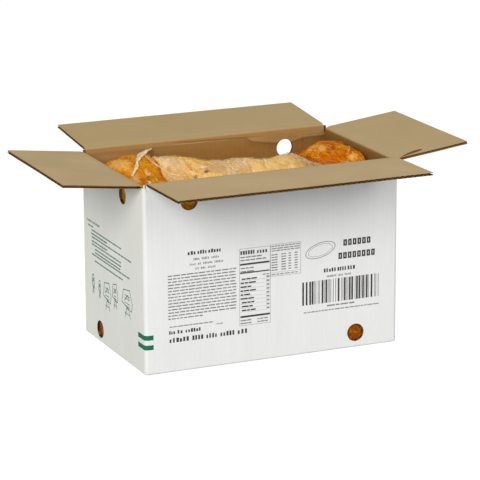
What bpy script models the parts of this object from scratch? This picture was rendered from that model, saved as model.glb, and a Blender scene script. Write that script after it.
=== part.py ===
"""Open corrugated carton with four folding top flaps, packed with four bags of frozen soup.

Units are metres, +Z is up. The origin is on the floor under the middle of the carton,
X runs along the long panels and Y runs from the front panel to the back one.
"""

import math

import bmesh
import bpy
from mathutils import Matrix, Vector

# Driving dimensions of the carton
CARTON_LENGTH = 0.390
CARTON_WIDTH = 0.238
BOARD = 0.004
LONG_FOLD_HEIGHT = 0.2725
FLAP_STACK_PLAY = 0.0005
SHORT_FOLD_HEIGHT = LONG_FOLD_HEIGHT - BOARD - FLAP_STACK_PLAY
FLAP_REACH = 0.1165
SLOT_INSET = 0.0047

# How far each flap stands above level as the carton lies open
REST_DEGREES = {"front": 0.8, "back": 5.2, "left": 6.6, "right": 7.0}

# The crushed score at a fold: the wall narrows to a bead, the flap to a thin edge
SCORE_TAPER = 0.006
WALL_BEAD_RADIUS = 0.0005
FLAP_SCORE_REACH = 0.007
FLAP_EDGE_OFFSET = 0.0010
FLAP_EDGE_HALF = 0.0004
BEAD_SEGMENTS = 6
STRIP_INSET = 0.00005
STRIP_ROOT = 0.002

# The walls' corners stand above the score's foot, beside the ends of the flaps
POST_HEIGHT = SHORT_FOLD_HEIGHT - 0.0006
POST_PLAY = 0.0004

# Folded corners and edges of the board
CORNER_RADIUS = 0.0055
BOTTOM_EDGE_RADIUS = 0.0025
INNER_CORNER_RADIUS = 0.0015

# Bottom: two short flaps lie inside on two long flaps, whose free edges meet in a seam
SEAM_WIDTH = 0.0012
SEAM_DEPTH = 0.003

# Glued tab that closes the blank, inside the back panel at its right end
TAB_WIDTH = 0.036
TAB_PLAY = 0.0002

# Round vent holes: place along the panel, then height of the centre
VENT_RADIUS = 0.013
VENT_SIDES = 32
VENT_CUT_DEPTH = 0.016
FRONT_VENTS = ((-0.127, 0.243), (0.129, 0.022))
BACK_VENTS = ((0.1255, 0.2445), (-0.129, 0.022))
LEFT_VENTS = ((-0.041, 0.241), (0.055, 0.0195))
RIGHT_VENTS = ((0.041, 0.241), (-0.055, 0.0195))

# Bags: four stand side by side on the bottom flaps
BAG_COUNT = 4
BAG_PLAY = 0.0006
BAG_DEPTH = 0.221
BAG_FLOOR_PLAY = 0.0004
BAG_SHOULDER = 0.2440
BAG_TOP_LIMIT = SHORT_FOLD_HEIGHT - BOARD / 2 - 0.0007
BAG_CUTS = (5, 11, 5)

# Lumps on each bag's top: place across and along the carton, rise, spread across, spread along
BAG_LUMPS = (
    ((-0.102, 0.100, 0.032, 0.040, 0.050), (-0.160, 0.059, 0.021, 0.036, 0.042)),
    ((-0.092, 0.054, 0.021, 0.047, 0.058), (-0.036, -0.001, 0.014, 0.037, 0.055)),
    ((0.030, 0.020, 0.011, 0.027, 0.044), (0.086, -0.009, 0.023, 0.040, 0.034)),
    ((0.160, 0.041, 0.024, 0.027, 0.031), (0.180, 0.017, 0.031, 0.023, 0.023)),
)

# How a bag's edges give way: narrower ends and top, shorter sides, and the drop of its rim
BAG_END_NARROWING = 0.18
BAG_TOP_NARROWING = 0.07
BAG_SIDE_SHORTENING = 0.05
BAG_SIDE_DROP = 0.004
BAG_END_DROP = 0.010
BAG_EDGE_CROWDING = 0.75


def clear_scene():
    for item in list(bpy.data.objects):
        bpy.data.objects.remove(item, do_unlink=True)


def make_collection(name):
    collection = bpy.data.collections.new(name)
    bpy.context.scene.collection.children.link(collection)
    return collection


def make_material(name, colour, roughness, coat=0.0):
    material = bpy.data.materials.new(name)
    material.use_nodes = True
    shader = material.node_tree.nodes["Principled BSDF"]
    shader.inputs["Base Color"].default_value = (*colour, 1.0)
    shader.inputs["Roughness"].default_value = roughness
    shader.inputs["Metallic"].default_value = 0.0
    shader.inputs["Coat Weight"].default_value = coat
    return material


def object_from_bmesh(name, shape, collection, material=None):
    mesh = bpy.data.meshes.new(name)
    shape.to_mesh(mesh)
    shape.free()
    item = bpy.data.objects.new(name, mesh)
    if material:
        mesh.materials.append(material)
    collection.objects.link(item)
    return item


def as_tool(item):
    """Mark an object that only cuts or joins others."""
    item.hide_render = True
    item.display_type = "WIRE"
    return item


def block(name, low, high, collection, upright_radius=0.0, bottom_radius=0.0, material=None):
    """A box between two corners, with round upright edges and a round bottom rim."""
    low = Vector(low)
    high = Vector(high)
    shape = bmesh.new()
    bmesh.ops.create_cube(shape, size=1.0)
    size = high - low
    bmesh.ops.scale(shape, vec=size, verts=shape.verts)
    bmesh.ops.translate(shape, vec=(low + high) / 2, verts=shape.verts)
    if upright_radius:
        upright = [
            edge
            for edge in shape.edges
            if abs(edge.verts[0].co.z - edge.verts[1].co.z) > size.z / 2
        ]
        bmesh.ops.bevel(
            shape, geom=upright, offset=upright_radius, segments=4, profile=0.5, affect="EDGES"
        )
    if bottom_radius:
        rim = [
            edge
            for edge in shape.edges
            if max(edge.verts[0].co.z, edge.verts[1].co.z) < low.z + size.z / 2
        ]
        bmesh.ops.bevel(
            shape, geom=rim, offset=bottom_radius, segments=3, profile=0.5, affect="EDGES"
        )
    return object_from_bmesh(name, shape, collection, material)


def outline_prism(name, outline, length, collection, material=None):
    """Extrude an outline given as (outward, up) points along the local X axis."""
    data = bpy.data.curves.new(name, "CURVE")
    data.dimensions = "2D"
    data.fill_mode = "BOTH"
    data.extrude = length / 2
    spline = data.splines.new("POLY")
    spline.points.add(len(outline) - 1)
    for point, (outward, up) in zip(spline.points, outline):
        point.co = (outward, up, 0.0, 1.0)
    spline.use_cyclic_u = True
    curve = bpy.data.objects.new(name, data)
    bpy.context.scene.collection.objects.link(curve)
    depsgraph = bpy.context.evaluated_depsgraph_get()
    mesh = bpy.data.meshes.new_from_object(curve.evaluated_get(depsgraph))
    bpy.data.objects.remove(curve, do_unlink=True)
    shape = bmesh.new()
    shape.from_mesh(mesh)
    bpy.data.meshes.remove(mesh)
    bmesh.ops.remove_doubles(shape, verts=shape.verts, dist=0.00001)
    x_to_y_to_z = Matrix(((0, 0, 1), (1, 0, 0), (0, 1, 0)))
    bmesh.ops.transform(shape, matrix=x_to_y_to_z.to_4x4(), verts=shape.verts)
    bmesh.ops.recalc_face_normals(shape, faces=shape.faces)
    return object_from_bmesh(name, shape, collection, material)


def combine(target, tool, operation):
    modifier = target.modifiers.new(tool.name, "BOOLEAN")
    modifier.operation = operation
    modifier.solver = "EXACT"
    modifier.object = tool


def side_frames():
    """Fold line of each side: local X along it, Y outward, Z up, and the flap's width."""
    out_y = (CARTON_WIDTH - BOARD) / 2
    out_x = (CARTON_LENGTH - BOARD) / 2
    long_width = CARTON_LENGTH - 2 * SLOT_INSET
    short_width = CARTON_WIDTH - 2 * SLOT_INSET
    return {
        "front": (Vector((0, -out_y, LONG_FOLD_HEIGHT)), math.pi, long_width),
        "back": (Vector((0, out_y, LONG_FOLD_HEIGHT)), 0.0, long_width),
        "left": (Vector((-out_x, 0, SHORT_FOLD_HEIGHT)), math.pi / 2, short_width),
        "right": (Vector((out_x, 0, SHORT_FOLD_HEIGHT)), -math.pi / 2, short_width),
    }


def rim_outline(root):
    """Section of a wall's top: upright board that narrows to a round bead on the fold line."""
    half = BOARD / 2 - STRIP_INSET
    outline = [(half, root), (half, -SCORE_TAPER)]
    for step in range(BEAD_SEGMENTS + 1):
        angle = math.pi * step / BEAD_SEGMENTS
        outline.append((WALL_BEAD_RADIUS * math.cos(angle), WALL_BEAD_RADIUS * math.sin(angle)))
    outline += [(-half, -SCORE_TAPER), (-half, root)]
    return outline


def flap_outline():
    """Section of a flap: flat board with a crushed edge beside the fold line."""
    half = BOARD / 2
    return [
        (FLAP_EDGE_OFFSET, -FLAP_EDGE_HALF),
        (FLAP_SCORE_REACH, -half),
        (FLAP_REACH, -half),
        (FLAP_REACH, half),
        (FLAP_SCORE_REACH, half),
        (FLAP_EDGE_OFFSET, FLAP_EDGE_HALF),
    ]


def add_notches(body, wall_top, tools):
    """Cut the walls down to the score's foot between the corners."""
    for side, (place, yaw, width) in side_frames().items():
        half = width / 2 + POST_PLAY
        notch = block("notch_" + side, (-half, -BOARD, 0.0), (half, BOARD, BOARD * 4), tools)
        notch.location = (place.x, place.y, wall_top)
        notch.rotation_euler = (0.0, 0.0, yaw)
        combine(body, as_tool(notch), "DIFFERENCE")


def add_rims(body, wall_top, tools):
    for side, (place, yaw, width) in side_frames().items():
        root = wall_top - STRIP_ROOT - place.z
        strip = as_tool(outline_prism("rim_" + side, rim_outline(root), width, tools))
        strip.location = place
        strip.rotation_euler = (0.0, 0.0, yaw)
        combine(body, strip, "UNION")


def add_vents(body, tools):
    half_x = CARTON_LENGTH / 2 - BOARD / 2
    half_y = CARTON_WIDTH / 2 - BOARD / 2
    places = [(x, -half_y, z, "Y") for x, z in FRONT_VENTS]
    places += [(x, half_y, z, "Y") for x, z in BACK_VENTS]
    places += [(-half_x, y, z, "X") for y, z in LEFT_VENTS]
    places += [(half_x, y, z, "X") for y, z in RIGHT_VENTS]
    for number, (x, y, z, axis) in enumerate(places, 1):
        shape = bmesh.new()
        bmesh.ops.create_cone(
            shape,
            cap_ends=True,
            segments=VENT_SIDES,
            radius1=VENT_RADIUS,
            radius2=VENT_RADIUS,
            depth=VENT_CUT_DEPTH,
        )
        turn = Matrix.Rotation(math.pi / 2, 4, "X" if axis == "Y" else "Y")
        place = Matrix.Translation((x, y, z)) @ turn
        bmesh.ops.transform(shape, matrix=place, verts=shape.verts)
        vent = as_tool(object_from_bmesh(f"vent_{number}", shape, tools))
        combine(body, vent, "DIFFERENCE")


def make_carton_body(parts, tools, material):
    """Four walls and the bottom, folded from one blank, with vents and scored rims."""
    half_x = CARTON_LENGTH / 2
    half_y = CARTON_WIDTH / 2
    wall_top = SHORT_FOLD_HEIGHT - SCORE_TAPER
    body = block(
        "carton_body",
        (-half_x, -half_y, 0.0),
        (half_x, half_y, POST_HEIGHT),
        parts,
        CORNER_RADIUS,
        BOTTOM_EDGE_RADIUS,
        material,
    )
    above = LONG_FOLD_HEIGHT + BOARD
    inner_x = half_x - BOARD
    inner_y = half_y - BOARD
    cavity = block(
        "cavity",
        (-inner_x, -inner_y, 2 * BOARD),
        (inner_x, inner_y, above),
        tools,
        INNER_CORNER_RADIUS,
    )
    combine(body, as_tool(cavity), "DIFFERENCE")
    between_short_flaps = inner_x - FLAP_REACH
    recess = block(
        "floor_recess",
        (-between_short_flaps, -inner_y + INNER_CORNER_RADIUS, BOARD),
        (between_short_flaps, inner_y - INNER_CORNER_RADIUS, 3 * BOARD),
        tools,
    )
    combine(body, as_tool(recess), "DIFFERENCE")
    seam = block(
        "bottom_seam",
        (-half_x - BOARD, -SEAM_WIDTH / 2, -BOARD),
        (half_x + BOARD, SEAM_WIDTH / 2, SEAM_DEPTH),
        tools,
    )
    combine(body, as_tool(seam), "DIFFERENCE")
    tab = block(
        "glue_tab",
        (inner_x - TAB_WIDTH, inner_y - BOARD + TAB_PLAY, BOARD),
        (inner_x + BOARD / 2, inner_y + BOARD / 2, wall_top - TAB_PLAY),
        tools,
    )
    combine(body, as_tool(tab), "UNION")
    add_notches(body, wall_top, tools)
    add_rims(body, wall_top, tools)
    add_vents(body, tools)
    return body


def make_flap(side, place, yaw, width, parts, material):
    """A top flap whose origin lies on its fold line, standing at its rest angle."""
    flap = outline_prism(f"flap_{side}", flap_outline(), width, parts, material)
    rise = Matrix.Rotation(math.radians(REST_DEGREES[side]), 4, "X")
    flap.matrix_world = Matrix.Translation(place) @ Matrix.Rotation(yaw, 4, "Z") @ rise
    return flap


def smooth_step(value):
    value = min(max(value, 0.0), 1.0)
    return value * value * (3.0 - 2.0 * value)


def top_height(x, y, lumps):
    """Height of a bag's top before its edges give way."""
    height = BAG_SHOULDER
    for place_x, place_y, rise, spread_x, spread_y in lumps:
        across = (x - place_x) / spread_x
        along = (y - place_y) / spread_y
        height += rise * math.exp(-((across**2 + along**2) ** 2))
    return height


def crowd(value):
    """Move a cage coordinate towards the edge it is nearest to."""
    return math.copysign(abs(value) ** BAG_EDGE_CROWDING, value)


def make_bag(name, middle_x, half_x, lumps, parts, material):
    """A soft filled bag standing on edge: flat where it is packed, rounded and lumpy on top."""
    floor = 2 * BOARD + BAG_FLOOR_PLAY
    half_y = BAG_DEPTH / 2
    shape = bmesh.new()
    bmesh.ops.create_cube(shape, size=2.0)
    for axis, cuts in enumerate(BAG_CUTS):
        edges = [
            edge
            for edge in shape.edges
            if abs(edge.verts[0].co[axis] - edge.verts[1].co[axis]) > 1.0
        ]
        bmesh.ops.subdivide_edges(shape, edges=edges, cuts=cuts, use_grid_fill=True)
    for vert in shape.verts:
        across = crowd(vert.co.x)
        along = vert.co.y
        up = crowd(vert.co.z)
        narrow = (1.0 - BAG_END_NARROWING * abs(along) ** 6) * (
            1.0 - BAG_TOP_NARROWING * abs(up) ** 8
        )
        short = (1.0 - BAG_SIDE_SHORTENING * abs(across) ** 4) * (
            1.0 - BAG_SIDE_SHORTENING * abs(up) ** 8
        )
        x = middle_x + half_x * across * narrow
        y = half_y * along * short
        edge_drop = BAG_SIDE_DROP * abs(across) ** 4 + BAG_END_DROP * abs(along) ** 6
        top = min(top_height(x, y, lumps) - edge_drop * smooth_step(up), BAG_TOP_LIMIT)
        z = floor + (top - floor) * (up + 1.0) / 2.0
        vert.co = (x, y, z)
    bag = object_from_bmesh(name, shape, parts, material)
    bag.data.shade_smooth()
    smooth = bag.modifiers.new("rounding", "SUBSURF")
    smooth.levels = 1
    smooth.render_levels = 1
    return bag


def main():
    clear_scene()
    parts = make_collection("soup_carton")
    tools = make_collection("cutters")
    board = make_material("board_white_kraft", (0.80, 0.81, 0.82), 0.75)
    kraft = make_material("flap_kraft", (0.44, 0.33, 0.19), 0.85)
    film = make_material("bagged_soup", (0.80, 0.42, 0.13), 0.35, 0.6)

    make_carton_body(parts, tools, board)
    for side, (place, yaw, width) in side_frames().items():
        make_flap(side, place, yaw, width, parts, kraft)

    inner_length = CARTON_LENGTH - 2 * BOARD
    pitch = inner_length / BAG_COUNT
    half_x = (pitch - BAG_PLAY) / 2
    for index, lumps in enumerate(BAG_LUMPS):
        middle_x = -inner_length / 2 + pitch * (index + 0.5)
        make_bag(f"soup_bag_{index + 1}", middle_x, half_x, lumps, parts, film)


main()
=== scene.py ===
import math
import random

import bpy
import bmesh
from mathutils import Matrix, Vector, noise


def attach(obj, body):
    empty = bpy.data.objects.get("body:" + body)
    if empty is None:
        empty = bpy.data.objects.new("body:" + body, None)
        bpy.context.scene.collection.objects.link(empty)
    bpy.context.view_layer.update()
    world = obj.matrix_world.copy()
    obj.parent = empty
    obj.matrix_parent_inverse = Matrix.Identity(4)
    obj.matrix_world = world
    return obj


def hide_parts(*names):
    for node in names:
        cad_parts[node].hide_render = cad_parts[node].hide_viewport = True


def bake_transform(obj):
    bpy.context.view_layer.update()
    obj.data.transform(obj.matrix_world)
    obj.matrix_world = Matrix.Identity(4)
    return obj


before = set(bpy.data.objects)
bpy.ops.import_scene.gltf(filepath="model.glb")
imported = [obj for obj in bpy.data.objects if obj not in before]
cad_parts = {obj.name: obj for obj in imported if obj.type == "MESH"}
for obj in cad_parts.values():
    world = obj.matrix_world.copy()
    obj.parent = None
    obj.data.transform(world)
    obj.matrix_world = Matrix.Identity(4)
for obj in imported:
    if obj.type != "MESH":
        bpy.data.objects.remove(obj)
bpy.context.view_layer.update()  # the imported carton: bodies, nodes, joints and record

# Sizes shared by the pieces, in metres
carton = {
    "length": 0.390,
    "width": 0.238,
    "board": 0.004,
    "longFold": 0.2725,
    "shortFold": 0.2680,
    "flapReach": 0.1165,
    "slotInset": 0.0047,
    "cornerRadius": 0.0055,
    "bottomRadius": 0.0025,
    "rest": {"front": 0.8, "back": 5.2, "left": 6.6, "right": 7.0},
}
halfX = carton["length"] / 2
halfY = carton["width"] / 2
innerX = halfX - carton["board"]
innerY = halfY - carton["board"]


# Shader tools: a wrapped socket that does sums, and a material that grows from calls
class Wire:
    def __init__(self, paint, socket):
        self.paint = paint
        self.socket = socket

    def sum(self, operation, first, second):
        return self.paint.add("ShaderNodeMath", {"operation": operation}, {0: first, 1: second})

    def __add__(self, other):
        return self.sum("ADD", self, other)

    def __radd__(self, other):
        return self.sum("ADD", other, self)

    def __sub__(self, other):
        return self.sum("SUBTRACT", self, other)

    def __rsub__(self, other):
        return self.sum("SUBTRACT", other, self)

    def __mul__(self, other):
        return self.sum("MULTIPLY", self, other)

    def __rmul__(self, other):
        return self.sum("MULTIPLY", other, self)

    def __truediv__(self, other):
        return self.sum("DIVIDE", self, other)

    def __abs__(self):
        return self.paint.add("ShaderNodeMath", {"operation": "ABSOLUTE"}, {0: self})


class Paint:
    def __init__(self, name):
        self.material = bpy.data.materials.new(name)
        self.material.use_nodes = True
        self.tree = self.material.node_tree
        self.shader = self.tree.nodes["Principled BSDF"]
        self.output = self.tree.nodes["Material Output"]

    def connect(self, socket, value):
        if isinstance(value, Wire):
            self.tree.links.new(value.socket, socket)
        elif value is not None:
            socket.default_value = value

    def add(self, kind, settings=None, inputs=None, result=0):
        node = self.tree.nodes.new(kind)
        for name, value in (settings or {}).items():
            if name == "stops":
                ramp = node.color_ramp
                while len(ramp.elements) < len(value):
                    ramp.elements.new(0.5)
                for element, (place, colour) in zip(ramp.elements, value):
                    element.position = place
                    element.color = (*colour, 1.0)
            else:
                setattr(node, name, value)
        for name, value in (inputs or {}).items():
            self.connect(node.inputs[name], value)
        return Wire(self, node.outputs[result])

    def place(self):
        return self.add("ShaderNodeTexCoord", result="Object")

    def parts(self, vector):
        node = self.tree.nodes.new("ShaderNodeSeparateXYZ")
        self.connect(node.inputs[0], vector)
        return [Wire(self, out) for out in node.outputs]

    def stretch(self, vector, scale, shift=(0, 0, 0)):
        return self.add(
            "ShaderNodeMapping", {}, {"Vector": vector, "Scale": scale, "Location": shift}
        )

    def grain(self, vector, scale, detail=3.0, rough=0.5, warp=0.0):
        return self.add(
            "ShaderNodeTexNoise",
            {},
            {"Vector": vector, "Scale": scale, "Detail": detail, "Roughness": rough,
             "Distortion": warp},
        )

    def clamp(self, value, low, high, to=(0.0, 1.0)):
        return self.add(
            "ShaderNodeMapRange",
            {"interpolation_type": "SMOOTHSTEP"},
            {"Value": value, "From Min": low, "From Max": high, "To Min": to[0], "To Max": to[1]},
        )

    def blend(self, share, first, second):
        node = self.tree.nodes.new("ShaderNodeMix")
        node.data_type = "RGBA"
        self.connect(node.inputs[0], share)
        self.connect(node.inputs[6], (*first, 1.0) if isinstance(first, tuple) else first)
        self.connect(node.inputs[7], (*second, 1.0) if isinstance(second, tuple) else second)
        return Wire(self, node.outputs[2])

    def bump(self, height, distance, strength):
        return self.add("ShaderNodeBump", {},
                        {"Height": height, "Distance": distance, "Strength": strength})

    def patch(self, vector, x, y, radius, squeeze=1.0):
        flat = self.add("ShaderNodeVectorMath", {"operation": "MULTIPLY"},
                        {0: vector, 1: (1, squeeze, 0)})
        away = self.add("ShaderNodeVectorMath", {"operation": "DISTANCE"},
                        {0: flat, 1: (x, y * squeeze, 0)}, "Value")
        return self.clamp(away, radius * 1.25, radius * 0.55)

    def set(self, **values):
        names = {
            "colour": "Base Color", "rough": "Roughness", "coat": "Coat Weight",
            "coatRough": "Coat Roughness", "normal": "Normal", "level": "Specular IOR Level",
        }
        for key, value in values.items():
            if isinstance(value, tuple) and len(value) == 3:
                value = (*value, 1.0)
            self.connect(self.shader.inputs[names[key]], value)
        return self


def grainyPaint(name, finish, dark, light):
    # Two tones mixed by a fine grain and, where the finish has one, a broad grain
    paint = Paint(name)
    place = paint.place()
    fine = paint.grain(place, *finish["fine"])
    tone = relief = fine
    if "broad" in finish:
        broad = paint.grain(paint.stretch(place, finish.get("long", (1, 1, 1))), *finish["broad"])
        tone = broad * finish["share"] + fine * (1 - finish["share"])
        relief = broad * finish["raised"] + fine * (1 - finish["raised"])
    return paint.set(
        colour=paint.blend(paint.clamp(tone, *finish["span"]), dark, light),
        rough=paint.clamp(fine, 0.2, 0.8, finish["rough"]),
        normal=paint.bump(relief, *finish["relief"]),
        level=finish["level"],
        coat=finish.get("coat"),
        coatRough=finish.get("coatRough"),
    ).material


# Papers and inks
fluting = {"pitch": 0.0078, "height": 0.0013}


def fluteLines(paint, axis):
    # Faint washboard of the flutes: one wave for each flute along the panel
    spot = paint.parts(paint.place())["xyz".index(axis)]
    turns = spot * (2 * math.pi / fluting["pitch"])
    return paint.add("ShaderNodeMath", {"operation": "SINE"}, {0: turns}) * 0.5 + 0.5


whiteBoard = {
    "x": {"light": (0.835, 0.840, 0.820), "dark": (0.795, 0.799, 0.778)},
    "y": {"light": (0.835, 0.837, 0.785), "dark": (0.790, 0.791, 0.735)},
}


def whiteLiner(axis):
    paint = Paint("whiteLiner_" + axis)
    place = paint.place()
    mottle = paint.grain(paint.stretch(place, (1, 1, 0.15)), 220, 4, 0.6)
    streak = paint.grain(paint.stretch(place, (1, 1, 0.03)), 45, 3, 0.5)
    cloud = paint.grain(place, 8, 3, 0.5)
    flutes = fluteLines(paint, axis)
    # The flutes' share in the colour is painted shade of the washboard
    share = paint.clamp(mottle * 0.3 + cloud * 0.3 + streak * 0.36 + flutes * 0.04, 0.34, 0.68)
    fibre = paint.grain(place, 1800, 2, 0.6)
    height = flutes * 0.30 + streak * 0.18 + mottle * 0.2 + fibre * 0.15
    return paint.set(
        colour=paint.blend(share, whiteBoard[axis]["dark"], whiteBoard[axis]["light"]),
        rough=paint.clamp(mottle, 0.2, 0.8, (0.46, 0.60)),
        normal=paint.bump(height, 0.00022, 0.8),
        level=0.3,
    ).material


kraftBoard = {
    "light": (0.475, 0.350, 0.182), "dark": (0.412, 0.298, 0.146), "fleck": (0.26, 0.17, 0.08),
    # The rim tone is painted light: a lit band under the fold and a highlight line on the score
    "back": (0.375, 0.262, 0.112), "rim": (0.43, 0.270, 0.105),
    # Inner wall tones: the flaps' kraft painted deeper and more orange, as shade and orange bounce
    # light inside the carton
    "shadedWallPale": (0.296, 0.148, 0.035), "shadedWallDeep": (0.240, 0.109, 0.022),
    # Paler tone of the long inner walls toward the left end: painted light
    "litLeftWall": (0.410, 0.235, 0.078),
    # Darker tones of the right end wall: painted shade beside the last bag
    "shadedFarPale": (0.225, 0.095, 0.012), "shadedFarDeep": (0.180, 0.070, 0.008),
    "dentHighlight": (0.44, 0.270, 0.105), "dentShade": (0.20, 0.090, 0.020),
    "dentShadeLine": (0.15, 0.068, 0.016),
    # Painted shade and painted highlight of the crease along the back fold
    "creaseShade": (0.19, 0.085, 0.020), "creaseHighlight": (0.50, 0.330, 0.150),
    "dentPlaces": ((0.0, 0.925), (0.47, 0.89), (0.655, 0.81), (0.69, 0.42), (0.79, 0.11),
                   (0.865, 0.105), (0.92, 0.345), (1.0, 0.355)),
    "dentLow": 0.2478,
    "litBandFrom": 0.252,
    "foldHeight": {"x": carton["longFold"], "y": carton["shortFold"]},
}
# Per fold: share of the darker flap tone, softness, strength of the painted highlight line, and the
# painted shade tone it darkens to downwards
foldTones = {
    "x": {"back": 0.55, "soft": 0.0, "line": 0.5, "under": (0.320, 0.178, 0.055)},
    "y": {"back": 0.15, "soft": 0.0012, "line": 0.2, "under": (0.200, 0.100, 0.018)},
}


def wallDent(paint, spots, colour, height):
    # A dent in the long walls under the fold, in the bump and in colour as a painted highlight above,
    # painted shade below and a painted shadow line: its height follows a ramp from end to end
    x, _, z = spots
    stops = [(place, (value, value, value)) for place, value in kraftBoard["dentPlaces"]]
    level = paint.add("ShaderNodeValToRGB", {"stops": stops}, {"Fac": x / (2 * innerX) + 0.5})
    shake = paint.grain(paint.place(), 90, 3, 0.6)
    middle = level * 0.02 + shake * 0.003 + kraftBoard["dentLow"]
    line = paint.clamp(abs(z - middle), 0.0026, 0.0002)
    under = paint.clamp(middle - z, -0.0010, 0.0030) * paint.clamp(middle - z, 0.014, 0.003)
    over = paint.clamp(z - middle, 0.0, 0.0030) * paint.clamp(z - middle, 0.010, 0.004)
    # Painted highlight above the dent, painted shade below it, painted shadow line in it
    colour = paint.blend(over * 0.30, colour, kraftBoard["dentHighlight"])
    colour = paint.blend(under * 0.45, colour, kraftBoard["dentShade"])
    colour = paint.blend(line * 0.50, colour, kraftBoard["dentShadeLine"])
    return colour, height - line * 1.2 - under * 1.8 + over * 1.2


def wallTone(paint, spots, share, axis):
    # Deeper than the flaps as painted shade; paler close under the fold and to the left as painted
    # light; darkest at the right end as painted shade
    colour = paint.blend(share, kraftBoard["shadedWallDeep"], kraftBoard["shadedWallPale"])
    # Painted light: a lit band close under the fold
    high = paint.clamp(spots[2], kraftBoard["litBandFrom"], kraftBoard["foldHeight"][axis])
    colour = paint.blend(high * 0.8, colour, kraftBoard["rim"])
    if axis == "y":
        # The right end wall is painted darker as shade
        far = paint.blend(share, kraftBoard["shadedFarDeep"], kraftBoard["shadedFarPale"])
        return paint.blend(paint.clamp(spots[0], 0.170, 0.186) * 0.9, colour, far)
    # Toward the left end the long walls are painted paler as light
    return paint.blend(paint.clamp(spots[0], -0.08, -0.16) * 0.55, colour, kraftBoard["litLeftWall"])


def flapTone(paint, spots, share):
    # The back flap and, less so, the right flap are painted a darker brown
    colour = paint.blend(share, kraftBoard["dark"], kraftBoard["light"])
    behind = paint.clamp(spots[1], 0.09, 0.15, (0.0, 0.55))
    colour = paint.blend(behind, colour, kraftBoard["back"])
    aside = paint.clamp(spots[0], 0.19, 0.22, (0.0, 0.35))
    return paint.blend(aside, colour, kraftBoard["back"])


def foldCrush(paint, spots, colour):
    # Along part of the back fold a crease is painted in: a dark line of painted shade over a pale line
    # of painted highlight
    x, y, z = spots
    along = paint.clamp(x, -0.065, -0.035) * paint.clamp(x, 0.085, 0.055) * paint.clamp(y, 0.0, 0.1)
    middle = paint.grain(paint.place(), 60, 3, 0.6) * 0.0022 + (carton["longFold"] - 0.0060)
    middle = middle - x * 0.022
    dark = along * paint.clamp(abs(z - middle), 0.0015, 0.0005) * 0.75
    colour = paint.blend(dark, colour, kraftBoard["creaseShade"])
    pale = along * paint.clamp(abs(z - middle + 0.0024), 0.0012, 0.0003) * 0.45
    return paint.blend(pale, colour, kraftBoard["creaseHighlight"])


def foldTone(paint, spots, colour, axis):
    # Over a fold the flap's paper darkens downwards as painted shade, with a pale line on the score as
    # a painted highlight
    tone = foldTones[axis]
    height = kraftBoard["foldHeight"][axis]
    soft = tone["soft"]
    colour = paint.blend(tone["back"], colour, kraftBoard["back"])
    down = paint.clamp(spots[2], height + 0.0004 + soft, height - 0.0020 - soft)
    colour = paint.blend(down, colour, tone["under"])
    line = paint.clamp(abs(spots[2] - height + 0.0002), 0.0014, 0.0004) * tone["line"]
    colour = paint.blend(line, colour, kraftBoard["rim"])
    return foldCrush(paint, spots, colour) if axis == "x" else colour


def kraftLiner(axis, kind="flap"):
    paint = Paint(kind + "Kraft_" + axis)
    place = paint.place()
    spots = paint.parts(place)
    flutes = fluteLines(paint, axis)
    long = {"x": (1, 0.25, 0.25), "y": (0.25, 1, 0.25)}[axis]
    fibre = paint.grain(paint.stretch(place, long), 700, 5, 0.65)
    cloud = paint.grain(place, 14, 4, 0.55)
    # The flutes' share in the colour is painted shade of the washboard
    share = paint.clamp(fibre * 0.5 + cloud * 0.46 + flutes * 0.04, 0.30, 0.70)
    fleck = paint.clamp(paint.grain(place, 1500, 2, 0.5), 0.66, 0.76)
    height = flutes * 0.25 + fibre * 0.45 + cloud * 0.3
    if kind == "wall":
        colour = wallTone(paint, spots, share, axis)
        if axis == "x":
            colour, height = wallDent(paint, spots, colour, height)
    else:
        colour = flapTone(paint, spots, share)
        if kind == "fold":
            colour = foldTone(paint, spots, colour, axis)
    return paint.set(
        colour=paint.blend(fleck * 0.4, colour, kraftBoard["fleck"]),
        rough=paint.clamp(fibre, 0.2, 0.8, (0.74, 0.9)),
        normal=paint.bump(height, 0.00025, 0.8),
        level=0.2,
    ).material


# The hollow tone is painted shade inside the flutes
cutBoard = {"paper": (0.20, 0.100, 0.030), "hollow": (0.050, 0.022, 0.005)}


def cutEdge(axis):
    # A cut through solid board: the medium's wave between hollows painted dark as shade
    paint = Paint("cutEdge_" + axis)
    place = paint.place()
    flutes = fluteLines(paint, axis)
    torn = paint.grain(place, 420, 4, 0.6)
    share = paint.clamp(flutes * 0.7 + torn * 0.5, 0.42, 0.78)
    return paint.set(
        colour=paint.blend(share, cutBoard["hollow"], cutBoard["paper"]),
        rough=paint.clamp(torn, 0.2, 0.8, (0.8, 0.95)),
        normal=paint.bump(share, 0.0006, 0.7),
        level=0.15,
    ).material


plainPaper = {"fine": (500, 4, 0.6), "span": (0.3, 0.7), "rough": (0.8, 0.95),
              "relief": (0.0002, 0.6), "level": 0.15}
pressInk = {"fine": (1300, 3, 0.6), "broad": (60, 2, 0.5), "share": 0.4, "raised": 0.0,
            "rough": (0.45, 0.6), "relief": (0.00005, 0.4), "level": 0.3}


def printInk(name, dark, light, cover):
    # A flat colour that breaks up a little where the board is uneven
    return grainyPaint(name, {**pressInk, "span": (cover, cover + 0.22)}, dark, light)


whiteX = whiteLiner("x")
whiteY = whiteLiner("y")
kraftX = kraftLiner("x")
kraftY = kraftLiner("y")
innerKraftX = kraftLiner("x", "wall")
innerKraftY = kraftLiner("y", "wall")
foldKraftX = kraftLiner("x", "fold")
foldKraftY = kraftLiner("y", "fold")
edgeX = cutEdge("x")
edgeY = cutEdge("y")
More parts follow.
